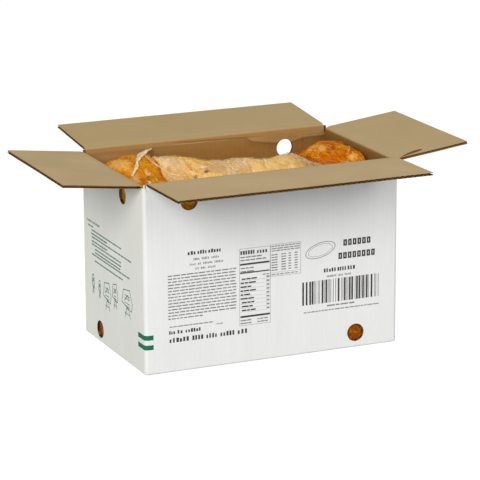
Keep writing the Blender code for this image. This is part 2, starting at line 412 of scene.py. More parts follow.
# Paper facing into the flutes' hollows is painted dark as shade
hollowPaper = grainyPaint("hollowPaper", plainPaper, (0.090, 0.038, 0.006), (0.150, 0.068, 0.012))
cutPaper = grainyPaint("cutPaper", plainPaper, (0.30, 0.165, 0.050), (0.42, 0.255, 0.105))
blackInk = printInk("blackInk", (0.045, 0.038, 0.034), (0.16, 0.15, 0.145), 0.52)
greyInk = printInk("greyInk", (0.20, 0.19, 0.18), (0.36, 0.35, 0.34), 0.45)
greenInk = printInk("greenInk", (0.005, 0.155, 0.080), (0.02, 0.23, 0.13), 0.50)
greenText = printInk("greenText", (0.075, 0.20, 0.135), (0.20, 0.33, 0.26), 0.45)
print("papers and inks ready")


# Mesh tools
def finishMesh(name, shape, materials, smooth=None):
    mesh = bpy.data.meshes.new(name)
    shape.to_mesh(mesh)
    shape.free()
    for material in materials:
        mesh.materials.append(material)
    if smooth is not None:
        mesh.shade_smooth()
        mesh.set_sharp_from_angle(angle=math.radians(smooth))
    piece = bpy.data.objects.new(name, mesh)
    bpy.context.scene.collection.objects.link(piece)
    return piece


def addBlock(shape, low, high):
    made = bmesh.ops.create_cube(shape, size=1.0)["verts"]
    low = Vector(low)
    high = Vector(high)
    size = high - low
    bmesh.ops.scale(shape, vec=size, verts=made)
    bmesh.ops.translate(shape, vec=(low + high) / 2, verts=made)
    return made


def roundBlock(low, high, upright=0.0, bottom=0.0, steps=10):
    # A box with round upright edges and a round lower rim
    shape = bmesh.new()
    addBlock(shape, low, high)
    tall = high[2] - low[2]
    if upright:
        edges = [e for e in shape.edges if abs(e.verts[0].co.z - e.verts[1].co.z) > tall / 2]
        bmesh.ops.bevel(shape, geom=edges, offset=upright, segments=steps, profile=0.5,
                        affect="EDGES", material=-1)
    if bottom:
        edges = [e for e in shape.edges if max(v.co.z for v in e.verts) < low[2] + tall / 2]
        bmesh.ops.bevel(shape, geom=edges, offset=bottom, segments=4, profile=0.5,
                        affect="EDGES", material=-1)
    return shape


def carve(target, tool, operation="DIFFERENCE"):
    # Cuts or joins with a helper object, which is then removed
    cut = target.modifiers.new("cut", "BOOLEAN")
    cut.operation = operation
    cut.solver = "EXACT"
    cut.object = tool
    bpy.context.view_layer.update()
    graph = bpy.context.evaluated_depsgraph_get()
    mesh = bpy.data.meshes.new_from_object(target.evaluated_get(graph))
    target.modifiers.remove(cut)
    target.data = mesh
    bpy.data.objects.remove(tool, do_unlink=True)


def blockTool(name, low, high, matrix=Matrix.Identity(4)):
    shape = bmesh.new()
    addBlock(shape, low, high)
    bmesh.ops.transform(shape, matrix=matrix, verts=shape.verts)
    return finishMesh(name, shape, [])


def pullOut(shape, made, by):
    # Moves the points that an extrusion has just made
    moved = [v for v in made["geom"] if isinstance(v, bmesh.types.BMVert)]
    bmesh.ops.translate(shape, vec=by, verts=moved)


def thicken(shape, thick):
    # Closes an open sheet downwards and returns its lower faces
    made = bmesh.ops.extrude_face_region(shape, geom=list(shape.faces), use_keep_orig=True)
    pullOut(shape, made, (0, 0, -thick))
    bmesh.ops.recalc_face_normals(shape, faces=shape.faces)
    return [f for f in made["geom"] if isinstance(f, bmesh.types.BMFace)]


def ribbon(shape, rows):
    # Faces between neighbouring rows of points
    for near, far in zip(rows, rows[1:]):
        for corners in zip(near, near[1:], far[1:], far):
            shape.faces.new(corners)


# Sides of the carton: middle of the fold line, turn about Z
foldX = halfX - carton["board"] / 2
foldY = halfY - carton["board"] / 2
sides = {
    "front": (Vector((0, -foldY, carton["longFold"])), math.pi),
    "back": (Vector((0, foldY, carton["longFold"])), 0.0),
    "left": (Vector((-foldX, 0, carton["shortFold"])), math.pi / 2),
    "right": (Vector((foldX, 0, carton["shortFold"])), -math.pi / 2),
}
isLong = {"front": True, "back": True, "left": False, "right": False}
outward = {"front": -1, "back": 1, "left": -1, "right": 1}
flapWidth = {side: carton["length" if isLong[side] else "width"] - 2 * carton["slotInset"]
             for side in sides}


def sideMatrix(side, raised=False):
    place, turn = sides[side]
    matrix = Matrix.Translation(place) @ Matrix.Rotation(turn, 4, "Z")
    if raised:
        matrix = matrix @ Matrix.Rotation(math.radians(carton["rest"][side]), 4, "X")
    return matrix


def onWall(side, along, z, wallX, wallY):
    # A place on a side's wall, which lies wallX or wallY from the middle
    if isLong[side]:
        return Vector((along, outward[side] * wallY, z))
    return Vector((outward[side] * wallX, along, z))


# Carton body; each side has an upper and a lower vent: place along the wall, height
body = {
    "vent": 0.013,
    "ventSides": 64,
    "ventDeep": 0.016,
    "vents": {
        "front": ((-0.127, 0.243), (0.129, 0.022)),
        "back": ((0.1255, 0.2445), (-0.129, 0.022)),
        "left": ((-0.041, 0.241), (0.055, 0.0195)),
        "right": ((0.041, 0.241), (-0.055, 0.0195)),
    },
    "post": 0.0006,
    "postPlay": 0.0004,
    "taper": 0.006,
    "rimPlay": 0.00004,
    "rimFoot": 0.002,
    "bead": 0.0005,
    "beadSteps": 8,
    "tab": 0.036,
    "tabThick": 0.0010,
    "tabPlay": 0.0002,
    "seam": 0.0012,
    "seamDepth": 0.003,
    "innerRadius": 0.0015,
    "lean": 0.2,
    "outerDeep": 0.0017,
    "footDeep": 0.0026,
    "near": 0.0005,
}


def rimBlock(side, wallTop):
    # The top of a wall, narrowing to a bead on the fold line
    half = carton["board"] / 2 - body["rimPlay"]
    low = wallTop - body["rimFoot"] - sides[side][0].z
    width = flapWidth[side] / 2
    shape = bmesh.new()
    outline = [(half, low), (half, -body["taper"])]
    for step in range(body["beadSteps"] + 1):
        angle = math.pi * step / body["beadSteps"]
        outline.append((body["bead"] * math.cos(angle), body["bead"] * math.sin(angle)))
    outline += [(-half, -body["taper"]), (-half, low)]
    end = shape.faces.new([shape.verts.new((-width, y, z)) for y, z in outline])
    pullOut(shape, bmesh.ops.extrude_face_region(shape, geom=[end]), (2 * width, 0, 0))
    bmesh.ops.recalc_face_normals(shape, faces=shape.faces)
    bmesh.ops.transform(shape, matrix=sideMatrix(side), verts=shape.verts)
    return finishMesh("rim", shape, [])


def ventCutter(side, along, z):
    shape = bmesh.new()
    bmesh.ops.create_cone(shape, cap_ends=True, segments=body["ventSides"], radius1=body["vent"],
                          radius2=body["vent"], depth=body["ventDeep"])
    turn = Matrix.Rotation(math.pi / 2, 4, "X" if isLong[side] else "Y")
    place = Matrix.Translation(onWall(side, along, z, halfX, halfY))
    bmesh.ops.transform(shape, matrix=place @ turn, verts=shape.verts)
    return finishMesh("vent", shape, [])


def paintBody(mesh):
    # Gives each face its paper: white outside, kraft inside, cut board at vents and slots
    lean = body["lean"]
    longVents = body["vents"]["front"] + body["vents"]["back"]
    sideVents = body["vents"]["left"] + body["vents"]["right"]
    for face in mesh.polygons:
        c = face.center
        n = face.normal
        nearX = halfX - abs(c.x)
        nearY = halfY - abs(c.y)
        outX = n.x * math.copysign(1, c.x)
        outY = n.y * math.copysign(1, c.y)
        outside = (
            (nearX < body["outerDeep"] and outX > lean)
            or (nearY < body["outerDeep"] and outY > lean)
            or (c.z < body["footDeep"] and n.z < -lean)
        )
        inside = (
            (abs(c.x) < foldX and outX < -lean and abs(c.y) < innerY + 2 * body["near"])
            or (abs(c.y) < foldY and outY < -lean and abs(c.x) < innerX + 2 * body["near"])
            or (n.z > 0.5 and c.z < 5 * carton["board"])
        )
        throughX = nearX < nearY
        across = abs(n.x) if throughX else abs(n.y)
        spot = c.y if throughX else c.x
        inVent = min(nearX, nearY) < carton["board"] + body["near"] and across < 0.5 and any(
            math.hypot(spot - along, c.z - z) < body["vent"] + body["near"]
            for along, z in (sideVents if throughX else longVents)
        )
        alongY = throughX if inVent else abs(n.x) > abs(n.y)
        paper = 4 if inVent or not (outside or inside) else 0 if outside else 2
        face.material_index = paper + alongY


def makeBody():
    board = carton["board"]
    wallTop = carton["shortFold"] - body["taper"]
    postTop = carton["shortFold"] - body["post"]
    shape = roundBlock((-halfX, -halfY, 0), (halfX, halfY, postTop), carton["cornerRadius"],
                       carton["bottomRadius"])
    piece = finishMesh("cartonBoard", shape, [whiteX, whiteY, innerKraftX, innerKraftY, edgeX, edgeY])
    cavity = roundBlock((-innerX, -innerY, 2 * board), (innerX, innerY, carton["longFold"] + 0.01),
                        body["innerRadius"], 0, 3)
    carve(piece, finishMesh("cavity", cavity, []))
    recess = innerX - carton["flapReach"]  # the short bottom flaps leave this well between them
    deep = innerY - body["innerRadius"]
    carve(piece, blockTool("recess", (-recess, -deep, board), (recess, deep, 3 * board)))
    carve(piece, blockTool("seam", (-halfX - board, -body["seam"] / 2, -board),
                           (halfX + board, body["seam"] / 2, body["seamDepth"])))
    tab = blockTool("tab", (innerX - body["tab"], innerY - body["tabThick"], board),
                    (innerX + board / 2, innerY + board / 2, wallTop - body["tabPlay"]))
    carve(piece, tab, "UNION")
    for side, (place, _) in sides.items():
        half = flapWidth[side] / 2 + body["postPlay"]
        matrix = sideMatrix(side) @ Matrix.Translation((0, 0, wallTop - place.z))
        carve(piece, blockTool("notch", (-half, -board, 0), (half, board, board * 4), matrix))
    for side in sides:
        carve(piece, rimBlock(side, wallTop), "UNION")
    for side, vents in body["vents"].items():
        for along, z in vents:
            carve(piece, ventCutter(side, along, z))
    paintBody(piece.data)
    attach(piece, "root")
    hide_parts("carton_body")


makeBody()
print("carton body ready")


# Flaps: two liners with the wavy medium open at the cut edges
flap = {
    "liner": 0.00035,
    "medium": 0.00045,
    "foldHalf": 0.00062,
    "foldStart": 0.0011,
    "outerStart": 0.0015,
    "flatFrom": 0.0072,
    "mediumFrom": 0.0085,
    "edgePull": 0.0003,
    "sidePull": 0.0004,
    "warp": 0.00035,
    "warpFrom": 0.01,
    "warpOver": 0.08,
    "warpSeeds": {"front": 1.3, "back": 5.1, "left": 8.7, "right": 12.9},
    "stepsAcross": 60,
    "stepsOut": 22,
    "waveSteps": 10,
}


def warpAt(side, x, y):
    # A slight unevenness of a flap, zero at its fold
    grow = min(max((y - flap["warpFrom"]) / flap["warpOver"], 0.0), 1.0)
    slow = noise.noise(Vector((x * 9, y * 14, flap["warpSeeds"][side])))
    return flap["warp"] * grow * slow


def halfThickness(y):
    share = min(max((y - flap["foldStart"]) / (flap["flatFrom"] - flap["foldStart"]), 0.0), 1.0)
    share = math.sin(share * math.pi / 2)
    full = carton["board"] / 2
    return flap["foldHalf"] + (full - flap["foldHalf"]) * share


def sheetPiece(name, width, start, end, heightAt, thickness, steps, materials, matrix):
    # A closed paper sheet over a grid: papers above, below and at the cut ends
    shape = bmesh.new()
    bmesh.ops.create_grid(shape, x_segments=steps[0], y_segments=steps[1], size=0.5)
    for vert in shape.verts:
        x = vert.co.x * width
        y = start + (vert.co.y + 0.5) * (end - start)
        vert.co = (x, y, heightAt(x, y) + thickness / 2)
    top = list(shape.faces)
    lower = thicken(shape, thickness)
    for face in shape.faces:
        face.material_index = 2
    for face in top:
        face.material_index = 0
    for face in lower:
        face.material_index = 1
    bmesh.ops.transform(shape, matrix=matrix, verts=shape.verts)
    return finishMesh(name, shape, materials, 40)


def makeFlap(side):
    matrix = sideMatrix(side, True)
    width = flapWidth[side]
    reach = carton["flapReach"]
    kraft = kraftX if isLong[side] else kraftY
    white = whiteX if isLong[side] else whiteY
    liner = flap["liner"]
    steps = (flap["stepsAcross"], flap["stepsOut"])

    def upper(x, y):
        return halfThickness(y) - liner / 2 + warpAt(side, x, y)

    def lower(x, y):
        return -halfThickness(y) + liner / 2 + warpAt(side, x, y)

    def wave(x, y):
        turn = 2 * math.pi * x / fluting["pitch"]
        return fluting["height"] * math.sin(turn) + warpAt(side, x, y)

    inner = sheetPiece(side + "FlapInner", width, flap["foldStart"], reach, upper, liner, steps,
                       [kraft, hollowPaper, cutPaper], matrix)
    outer = sheetPiece(side + "FlapOuter", width, flap["outerStart"], reach, lower, liner, steps,
                       [hollowPaper, white, cutPaper], matrix)
    waves = round(width / fluting["pitch"]) * flap["waveSteps"]
    medium = sheetPiece(side + "FlapFluting", width - flap["sidePull"], flap["mediumFrom"],
                        reach - flap["edgePull"], wave, flap["medium"], (waves, 3),
                        [hollowPaper, hollowPaper, cutPaper], matrix)
    for piece in (inner, outer, medium):
        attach(piece, "flap_" + side)
    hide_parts("flap_" + side)


for side in sides:
    makeFlap(side)
print("flaps ready")


# Fold strips: the liners that run over each score from wall to flap
fold = {"down": 0.0075, "out": 0.0085, "skin": 0.00030, "proud": 0.00006, "steps": 14,
        "clear": 0.00008, "sidePull": 0.0002, "bendOver": 0.0012}


def stripPath(side, outer):
    # Points (outward, up) of a liner that bends round the fold at the rest angle
    rise = math.radians(carton["rest"][side])
    half = carton["board"] / 2 + fold["proud"]
    small = flap["foldHalf"] + fold["proud"] + fold["clear"]
    sign = 1 if outer else -1
    path = [(sign * half, -fold["down"]), (sign * half, -body["taper"] - 0.0004)]
    path += [(sign * (small + (half - small) * (1 - s)), -body["taper"] * (1 - s) - 0.0008 * s)
             for s in (0.25, 0.5, 0.75)]

    def onFlap(out, normal):
        return (out * math.cos(rise) - normal * math.sin(rise),
                out * math.sin(rise) + normal * math.cos(rise))

    if outer:
        path.append((small, -0.0014))
        path.append((small + 0.0002, -small - 0.0002))
        path.append(onFlap(0.0014, -small))
    else:
        first = math.pi
        last = math.pi / 2 + rise
        for step in range(fold["steps"] + 1):
            angle = first + (last - first) * step / fold["steps"]
            path.append((small * math.cos(angle), small * math.sin(angle)))
    for share in (0.25, 0.5, 0.75, 1.0):
        out = flap["foldStart"] + (flap["flatFrom"] - flap["foldStart"]) * share
        path.append(onFlap(out, (-sign) * (halfThickness(out) + fold["proud"])))
    path.append(onFlap(fold["out"], -sign * half))
    return path


def makeFold(side, outer):
    width = flapWidth[side] / 2 - fold["sidePull"]
    shape = bmesh.new()
    line = [shape.verts.new((-width, y, z)) for y, z in stripPath(side, outer)]
    for pair in zip(line, line[1:]):
        shape.edges.new(pair)
    pullOut(shape, bmesh.ops.extrude_edge_only(shape, edges=list(shape.edges)), (2 * width, 0, 0))
    bmesh.ops.recalc_face_normals(shape, faces=shape.faces)
    bmesh.ops.solidify(shape, geom=list(shape.faces), thickness=fold["skin"])
    bmesh.ops.recalc_face_normals(shape, faces=shape.faces)
    matrix = sideMatrix(side)
    bmesh.ops.transform(shape, matrix=matrix, verts=shape.verts)
    if outer:
        paper = whiteX if isLong[side] else whiteY
    else:
        paper = foldKraftX if isLong[side] else foldKraftY
    piece = finishMesh(side + ("FoldOuter" if outer else "FoldInner"), shape, [paper], 60)
    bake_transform(piece)


for side in sides:
    makeFold(side, True)
    makeFold(side, False)
print("folds ready")


# At each corner the long walls run on to a small upright tip between the flaps
tip = {"play": 0.0006, "thick": 0.0038, "drop": 0.0006, "foot": 0.001, "inset": 0.0012,
       "round": 0.0006}


def makeTips():
    shape = bmesh.new()
    low = carton["shortFold"] - body["post"] - tip["foot"]
    high = carton["longFold"] - tip["drop"]
    inner = flapWidth["front"] / 2 + tip["play"]
    for sideX in (-1, 1):
        for sideY in (-1, 1):
            spots = sorted((sideX * inner, sideX * (halfX - tip["inset"])))
            deep = sorted((sideY * (halfY - tip["thick"]), sideY * (halfY - tip["inset"])))
            made = addBlock(shape, (spots[0], deep[0], low), (spots[1], deep[1], high))
            upright = list({e for v in made for e in v.link_edges
                            if abs(e.verts[0].co.z - e.verts[1].co.z) > 0.001})
            bmesh.ops.bevel(shape, geom=upright, offset=tip["round"], segments=3, profile=0.5,
                            affect="EDGES", material=-1)
    for face in shape.faces:
        inside = abs(face.calc_center_median().y) < halfY - tip["thick"] / 2
        face.material_index = 1 if inside or face.normal.z > 0.5 else 0
    piece = finishMesh("cornerTips", shape, [whiteX, edgeX], 40)
    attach(piece, "root")


makeTips()

# A torn slit near the front edge of the right flap, open and dark toward the flap's tip; its darkness
# is painted shade on a thin sheet laid on the flap
slit = {"start": (0.1128, 0.0095), "end": (0.1003, 0.0490), "wide": 0.0078, "thin": 0.0004,
        "deep": 0.0006, "bow": 0.0015, "widest": 0.78, "steps": 20}
slitShadePaper = {"fine": (700, 4, 0.6), "span": (0.35, 0.65), "rough": (0.8, 0.95),
             "relief": (0.0003, 0.6), "level": 0.1}


def makeSlit():
    shape = bmesh.new()
    rows = []
    for step in range(slit["steps"] + 1):
        t = step / slit["steps"]
        x = slit["start"][0] + (slit["end"][0] - slit["start"][0]) * t
        x -= slit["bow"] * math.sin(math.pi * t)
        y = slit["start"][1] + (slit["end"][1] - slit["start"][1]) * t
        gape = math.sin(math.pi * slit["widest"] * t)
        half = (slit["thin"] + (slit["wide"] - slit["thin"]) * gape) / 2
        z = carton["board"] / 2 + warpAt("right", x, y)
        rows.append([shape.verts.new((x + half * turn, y, z + slit["deep"] / 2)) for turn in (-1, 1)])
    ribbon(shape, rows)
    thicken(shape, slit["deep"])
    bmesh.ops.transform(shape, matrix=sideMatrix("right", True), verts=shape.verts)
    torn = grainyPaint("tornBoard", slitShadePaper, (0.085, 0.036, 0.007), (0.19, 0.090, 0.022))
    piece = finishMesh("rightFlapSlit", shape, [torn])
    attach(piece, "flap_right")


makeSlit()
print("corner tips and slit ready")


# Bags: the same form as the solids, at fine scale
bag = {
    "count": 4,
    "play": 0.0006,
    "depth": 0.221,
    "floorPlay": 0.0004,
    "shoulder": 0.2440,
    "headroom": 0.0007,
    "cuts": (5, 11, 5),
    "crowd": 0.75,
    "rounding": 3,
    "narrowEnds": 0.18,
    "narrowTop": 0.07,
    "short": 0.05,
    "sideDrop": 0.003,
    "endDrop": 0.006,
    "lumps": (
        ((-0.107, 0.103, 0.036, 0.039, 0.050), (-0.148, 0.064, 0.025, 0.048, 0.042)),
        ((-0.102, 0.069, 0.0215, 0.055, 0.070), (-0.038, 0.015, 0.0145, 0.035, 0.058)),
        ((0.0214, 0.021, 0.0167, 0.029, 0.035), (0.080, -0.013, 0.0254, 0.035, 0.046)),
        ((0.159, 0.049, 0.031, 0.026, 0.030), (0.1805, 0.0055, 0.0355, 0.0262, 0.051),
         (0.150, -0.0015, 0.006, 0.030, 0.038)),
    ),
    "pale": (0.22, 0.66, 0.80, 0.10),
}
bagTopLimit = carton["shortFold"] - carton["board"] / 2 - bag["headroom"]
bagPitch = 2 * innerX / bag["count"]


def bagMiddle(index):
    return -innerX + bagPitch * (index + 0.5)


def smoothStep(value):
    value = min(max(value, 0.0), 1.0)
    return value * value * (3 - 2 * value)


def bagTop(x, y, lumps):
    height = bag["shoulder"]
    for placeX, placeY, rise, spreadX, spreadY in lumps:
        across = (x - placeX) / spreadX
        along = (y - placeY) / spreadY
        height += rise * math.exp(-((across**2 + along**2) ** 2))
    return height


def crowd(value):
    # Moves the cage's cuts toward its edges
    return math.copysign(abs(value) ** bag["crowd"], value)


def bagShape(index):
    # The bag's cage, as in the solid, then rounded and applied
    wide = (bagPitch - bag["play"]) / 2
    floor = 2 * carton["board"] + bag["floorPlay"]
    lumps = bag["lumps"][index]
    shape = bmesh.new()
    bmesh.ops.create_cube(shape, size=2.0)
    for axis, cuts in enumerate(bag["cuts"]):
        edges = [e for e in shape.edges if abs(e.verts[0].co[axis] - e.verts[1].co[axis]) > 1.0]
        bmesh.ops.subdivide_edges(shape, edges=edges, cuts=cuts, use_grid_fill=True)
    for vert in shape.verts:
        across = crowd(vert.co.x)
        along = vert.co.y
        up = crowd(vert.co.z)
        narrow = (1 - bag["narrowEnds"] * abs(along) ** 6) * (1 - bag["narrowTop"] * abs(up) ** 8)
        short = (1 - bag["short"] * abs(across) ** 4) * (1 - bag["short"] * abs(up) ** 8)
        x = bagMiddle(index) + wide * across * narrow
        y = bag["depth"] / 2 * along * short
        drop = bag["sideDrop"] * abs(across) ** 4 + bag["endDrop"] * abs(along) ** 6
        top = min(bagTop(x, y, lumps) - drop * smoothStep(up), bagTopLimit)
        vert.co = (x, y, floor + (top - floor) * (up + 1) / 2)
    cage = finishMesh("cage", shape, [])
    rounding = cage.modifiers.new("rounding", "SUBSURF")
    rounding.levels = bag["rounding"]
    rounding.render_levels = bag["rounding"]
    graph = bpy.context.evaluated_depsgraph_get()
    mesh = bpy.data.meshes.new_from_object(cage.evaluated_get(graph))
    bpy.data.objects.remove(cage, do_unlink=True)
    shape = bmesh.new()
    shape.from_mesh(mesh)
    bpy.data.meshes.remove(mesh)
    shape.normal_update()
    return shape


soupTones = (
    {"deep": (0.50, 0.110, 0.000), "middle": (0.64, 0.230, 0.000), "pale": (0.76, 0.450, 0.050)},
    {"deep": (0.68, 0.300, 0.020), "middle": (0.79, 0.480, 0.120), "pale": (0.88, 0.680, 0.360)},
    {"deep": (0.64, 0.320, 0.050), "middle": (0.75, 0.480, 0.160), "pale": (0.82, 0.640, 0.350)},
    {"deep": (0.36, 0.050, 0.000), "middle": (0.55, 0.130, 0.000), "pale": (0.70, 0.350, 0.030)},
)
# Broad stains of the soup: place, radius (mm), colour and strength
soupStains = (
    ((-160, 56, 15, (0.78, 0.480, 0.150), 0.80), (-124, 60, 11, (0.56, 0.170, 0.000), 0.80),
     (-128, 40, 9, (0.60, 0.230, 0.000), 0.80), (-152, 18, 8, (0.74, 0.500, 0.220), 0.75),
     (-129, 27, 4, (0.82, 0.600, 0.300), 0.80), (-131, 15, 4.5, (0.22, 0.050, 0.010), 0.95),
     (-144, 11, 4, (0.34, 0.100, 0.004), 0.90), (-116, 20, 6, (0.42, 0.130, 0.004), 0.80),
     (-136, 3, 3, (0.88, 0.760, 0.560), 0.80)),
    ((-91, 52, 13, (0.86, 0.680, 0.420), 0.90), (-86, 27, 7, (0.84, 0.620, 0.330), 0.80),
     (-95, 35, 4, (0.70, 0.330, 0.060), 0.85), (-88, 9, 6, (0.74, 0.400, 0.080), 0.85),
     (-83, -8, 6, (0.68, 0.290, 0.015), 0.90), (-74, 24, 3, (0.60, 0.440, 0.270), 0.80),
     (-72, 6, 2.6, (0.34, 0.200, 0.150), 0.85), (-71, -12, 4, (0.24, 0.110, 0.070), 0.90),
     (-60, 12, 8, (0.84, 0.600, 0.270), 0.75), (-51, 4, 3.5, (0.90, 0.800, 0.660), 0.85),
     (-50, -8, 3.5, (0.40, 0.230, 0.170), 0.80), (-36, -4, 12, (0.52, 0.330, 0.140), 0.80)),
    ((8, 12, 10, (0.72, 0.420, 0.130), 0.70), (82, -26, 8, (0.46, 0.170, 0.020), 0.80),
     (76, -42, 9, (0.54, 0.260, 0.060), 0.80), (4, 28, 6, (0.72, 0.580, 0.420), 0.80),
     (40, 16, 9, (0.84, 0.600, 0.270), 0.75), (62, -6, 8, (0.82, 0.540, 0.180), 0.75)),
    ((133, 54, 7, (0.64, 0.290, 0.030), 0.70), (141, 49, 7, (0.76, 0.450, 0.120), 0.75),
     (148, 34, 6, (0.76, 0.430, 0.100), 0.75), (161, 43, 4, (0.48, 0.080, 0.000), 0.85),
     (124, 34, 5, (0.30, 0.050, 0.000), 0.90), (129, 19, 4, (0.34, 0.060, 0.000), 0.90),
     (141, 14, 6, (0.64, 0.100, 0.000), 0.90), (146, -2, 6, (0.66, 0.110, 0.000), 0.90),
     (153, -9, 6, (0.62, 0.130, 0.000), 0.85), (170, 14, 9, (0.70, 0.300, 0.004), 0.75),
     (168, -8, 3.5, (0.42, 0.090, 0.000), 0.85), (168, -30, 6, (0.80, 0.500, 0.120), 0.75)),
)
# Sharp folds of the film on each bag, raised and painted pale as highlights: points (mm), width (mm)
filmFolds = (
    ((((-112, 83), (-113, 56), (-109, 46), (-100, 41)), 1.8),
     (((-156, 74), (-152, 52), (-146, 36)), 1.2)),
    ((((-79, 40), (-78, 24), (-75, 5), (-74, -10)), 1.7),
     (((-56, 12), (-50, 2), (-46, -14)), 1.3)),
    ((((50, 26), (38, -10)), 1.4),
     (((88, 14), (98, -10), (101, -30)), 1.3)),
    ((((178, 2), (164, -20), (157, -33)), 1.5),
     (((136, 34), (141, 26), (148, 21), (155, 6)), 1.4),
     (((136, 26), (133, 6), (131, -14)), 1.1),
     (((150, 58), (164, 47), (186, 32)), 1.2)),
)
filmTones = ((0.80, 0.40, 0.02), (0.82, 0.64, 0.38), (0.78, 0.62, 0.38), (0.68, 0.28, 0.01))
filmGloss = (0.12, 0.50, 0.40, 0.08)
webTone = (0.80, 0.58, 0.29)


def soupPaint(index, web=False):
    # Frozen soup: orange broth with paler fat, stained darker where beans lie at the skin
    tones = soupTones[index]
    paint = Paint(f"frozenSoup_{index + 1}" + ("_web" if web else ""))
    spot = paint.place()
    place = paint.stretch(spot, (1, 1, 1), (0.31 * index, 0.17 * index, 0.05))
    broad = paint.grain(paint.stretch(place, (1, 0.6, 0.8)), 34, 4, 0.6, 0.8)
    streak = paint.grain(paint.stretch(place, (1, 0.28, 0.8)), 125, 5, 0.66, 1.2)
    fine = paint.grain(paint.stretch(place, (1, 0.35, 1)), 480, 4, 0.65)
    lower = paint.clamp(broad * 0.45 + streak * 0.45 + fine * 0.1, 0.42, 0.52)
    upper = paint.clamp(broad * 0.30 + streak * 0.40 + fine * 0.30, 0.525, 0.59)
    colour = paint.blend(lower, tones["deep"], tones["middle"])
    colour = paint.blend(upper, colour, tones["pale"])
    flake = paint.grain(paint.stretch(place, (1, 0.26, 0.8)), 270, 5, 0.7, 1.6)
    colour = paint.blend(paint.clamp(flake, 0.555, 0.595) * 0.70, colour, tones["pale"])
    speck = 0.30 if index in (1, 2) else 0.75
    colour = paint.blend(paint.clamp(flake, 0.445, 0.405) * speck, colour, tones["deep"])
    moved = paint.add("ShaderNodeVectorMath", {"operation": "MULTIPLY_ADD"},
                      {0: paint.add("ShaderNodeTexNoise", {}, {"Vector": place, "Scale": 70.0}, 1),
                       1: (0.014, 0.014, 0), 2: spot})
    for x, y, radius, tone, strength in soupStains[index]:
        share = paint.patch(moved, x / 1000 + 0.007, y / 1000 + 0.007, radius / 1000, 0.65)
        colour = paint.blend(share * (strength * 0.9) * paint.clamp(flake, 0.30, 0.52), colour, tone)
    return paint.set(
        colour=colour,
        rough=paint.clamp(fine, 0.2, 0.8, (0.35, 0.55)),
        normal=paint.bump(streak * 0.5 + fine * 0.2 + flake * 0.3, 0.0010, 0.7),
        level=0.0,
        coat=0.25 if web else 0.0,
        coatRough=0.18,
    ).material


def filmPaint(index, web=False):
    # Clear film: nearly invisible face on, pale where it turns away, with pale creases and cell edges
    # painted as highlights
    paint = Paint(f"clearFilm_{index + 1}" + ("_web" if web else ""))
    place = paint.stretch(paint.place(), (1, 1, 1), (0.11 * index, 0.23 * index, 0))
    crease = paint.grain(paint.stretch(place, (1, 0.28, 0.6)), 80, 5, 0.6, 1.2)
    frost = paint.grain(place, 38, 5, 0.65, 0.6)
    ridge = abs(crease * 2 - 1)
    lines = paint.clamp(ridge, 0.055, 0.0)
    fold = paint.add("ShaderNodeAttribute", {"attribute_name": "crease"}, {}, "Fac")
    cells = paint.add("ShaderNodeTexVoronoi", {"feature": "DISTANCE_TO_EDGE"},
                      {"Vector": paint.stretch(place, (1, 0.3, 0.7)), "Scale": 110.0})
    crumple = paint.clamp(cells, 0.0, 0.35)
    normal = paint.bump(ridge * 0.7 + crumple * 0.6, 0.0018, 0.8)
    facing = paint.add("ShaderNodeLayerWeight", {}, {"Blend": 0.15, "Normal": normal})
    most = 0.10 + 0.25 * bag["pale"][index]
    haze = paint.clamp(frost, 0.50, 0.72, (0.12 if web else 0.0, most + (0.14 if web else 0.0)))
    sharp = paint.clamp(cells, 0.035, 0.0) * paint.clamp(frost, 0.45, 0.55)
    # Pale lines on creases, cell edges and folds are painted highlights
    highlightBands = lines * 0.10 + sharp * 0.22 + fold * (0.26 if web else 0.46)
    cover = paint.add("ShaderNodeClamp", {}, {"Value": haze + facing * 0.16 + highlightBands})
    tone = webTone if web else filmTones[index]
    pale = tuple(min(value * 1.05 + 0.10, 1.0) for value in tone)
    gloss = 0.5 if web else filmGloss[index]
    rough = 0.16 if web or index in (1, 2) else 0.10
    paint.set(colour=paint.blend(fold, tone, pale), rough=rough, level=gloss, normal=normal)
    clear = paint.add("ShaderNodeBsdfTransparent")
    mixed = paint.add("ShaderNodeMixShader", {},
                      {0: cover, 1: clear, 2: Wire(paint, paint.shader.outputs[0])})
    paint.connect(paint.output.inputs["Surface"], mixed)
    return paint.material


def nearFold(x, y, fold):
    # How strongly a place lies on a fold, from 0 to 1
    points, width = fold
    best = 10.0
    for (x0, y0), (x1, y1) in zip(points, points[1:]):
        runX = x1 - x0
        runY = y1 - y0
        share = ((x - x0) * runX + (y - y0) * runY) / (runX * runX + runY * runY)
        share = min(max(share, 0.0), 1.0)
        best = min(best, math.hypot(x - x0 - share * runX, y - y0 - share * runY))
    return math.exp(-((best / width) ** 2))


skin = {"gap": 0.0007, "lump": 0.0019, "wrinkle": 0.0012, "fold": 0.0008, "under": 0.0002,
        "foldsAbove": 0.235}


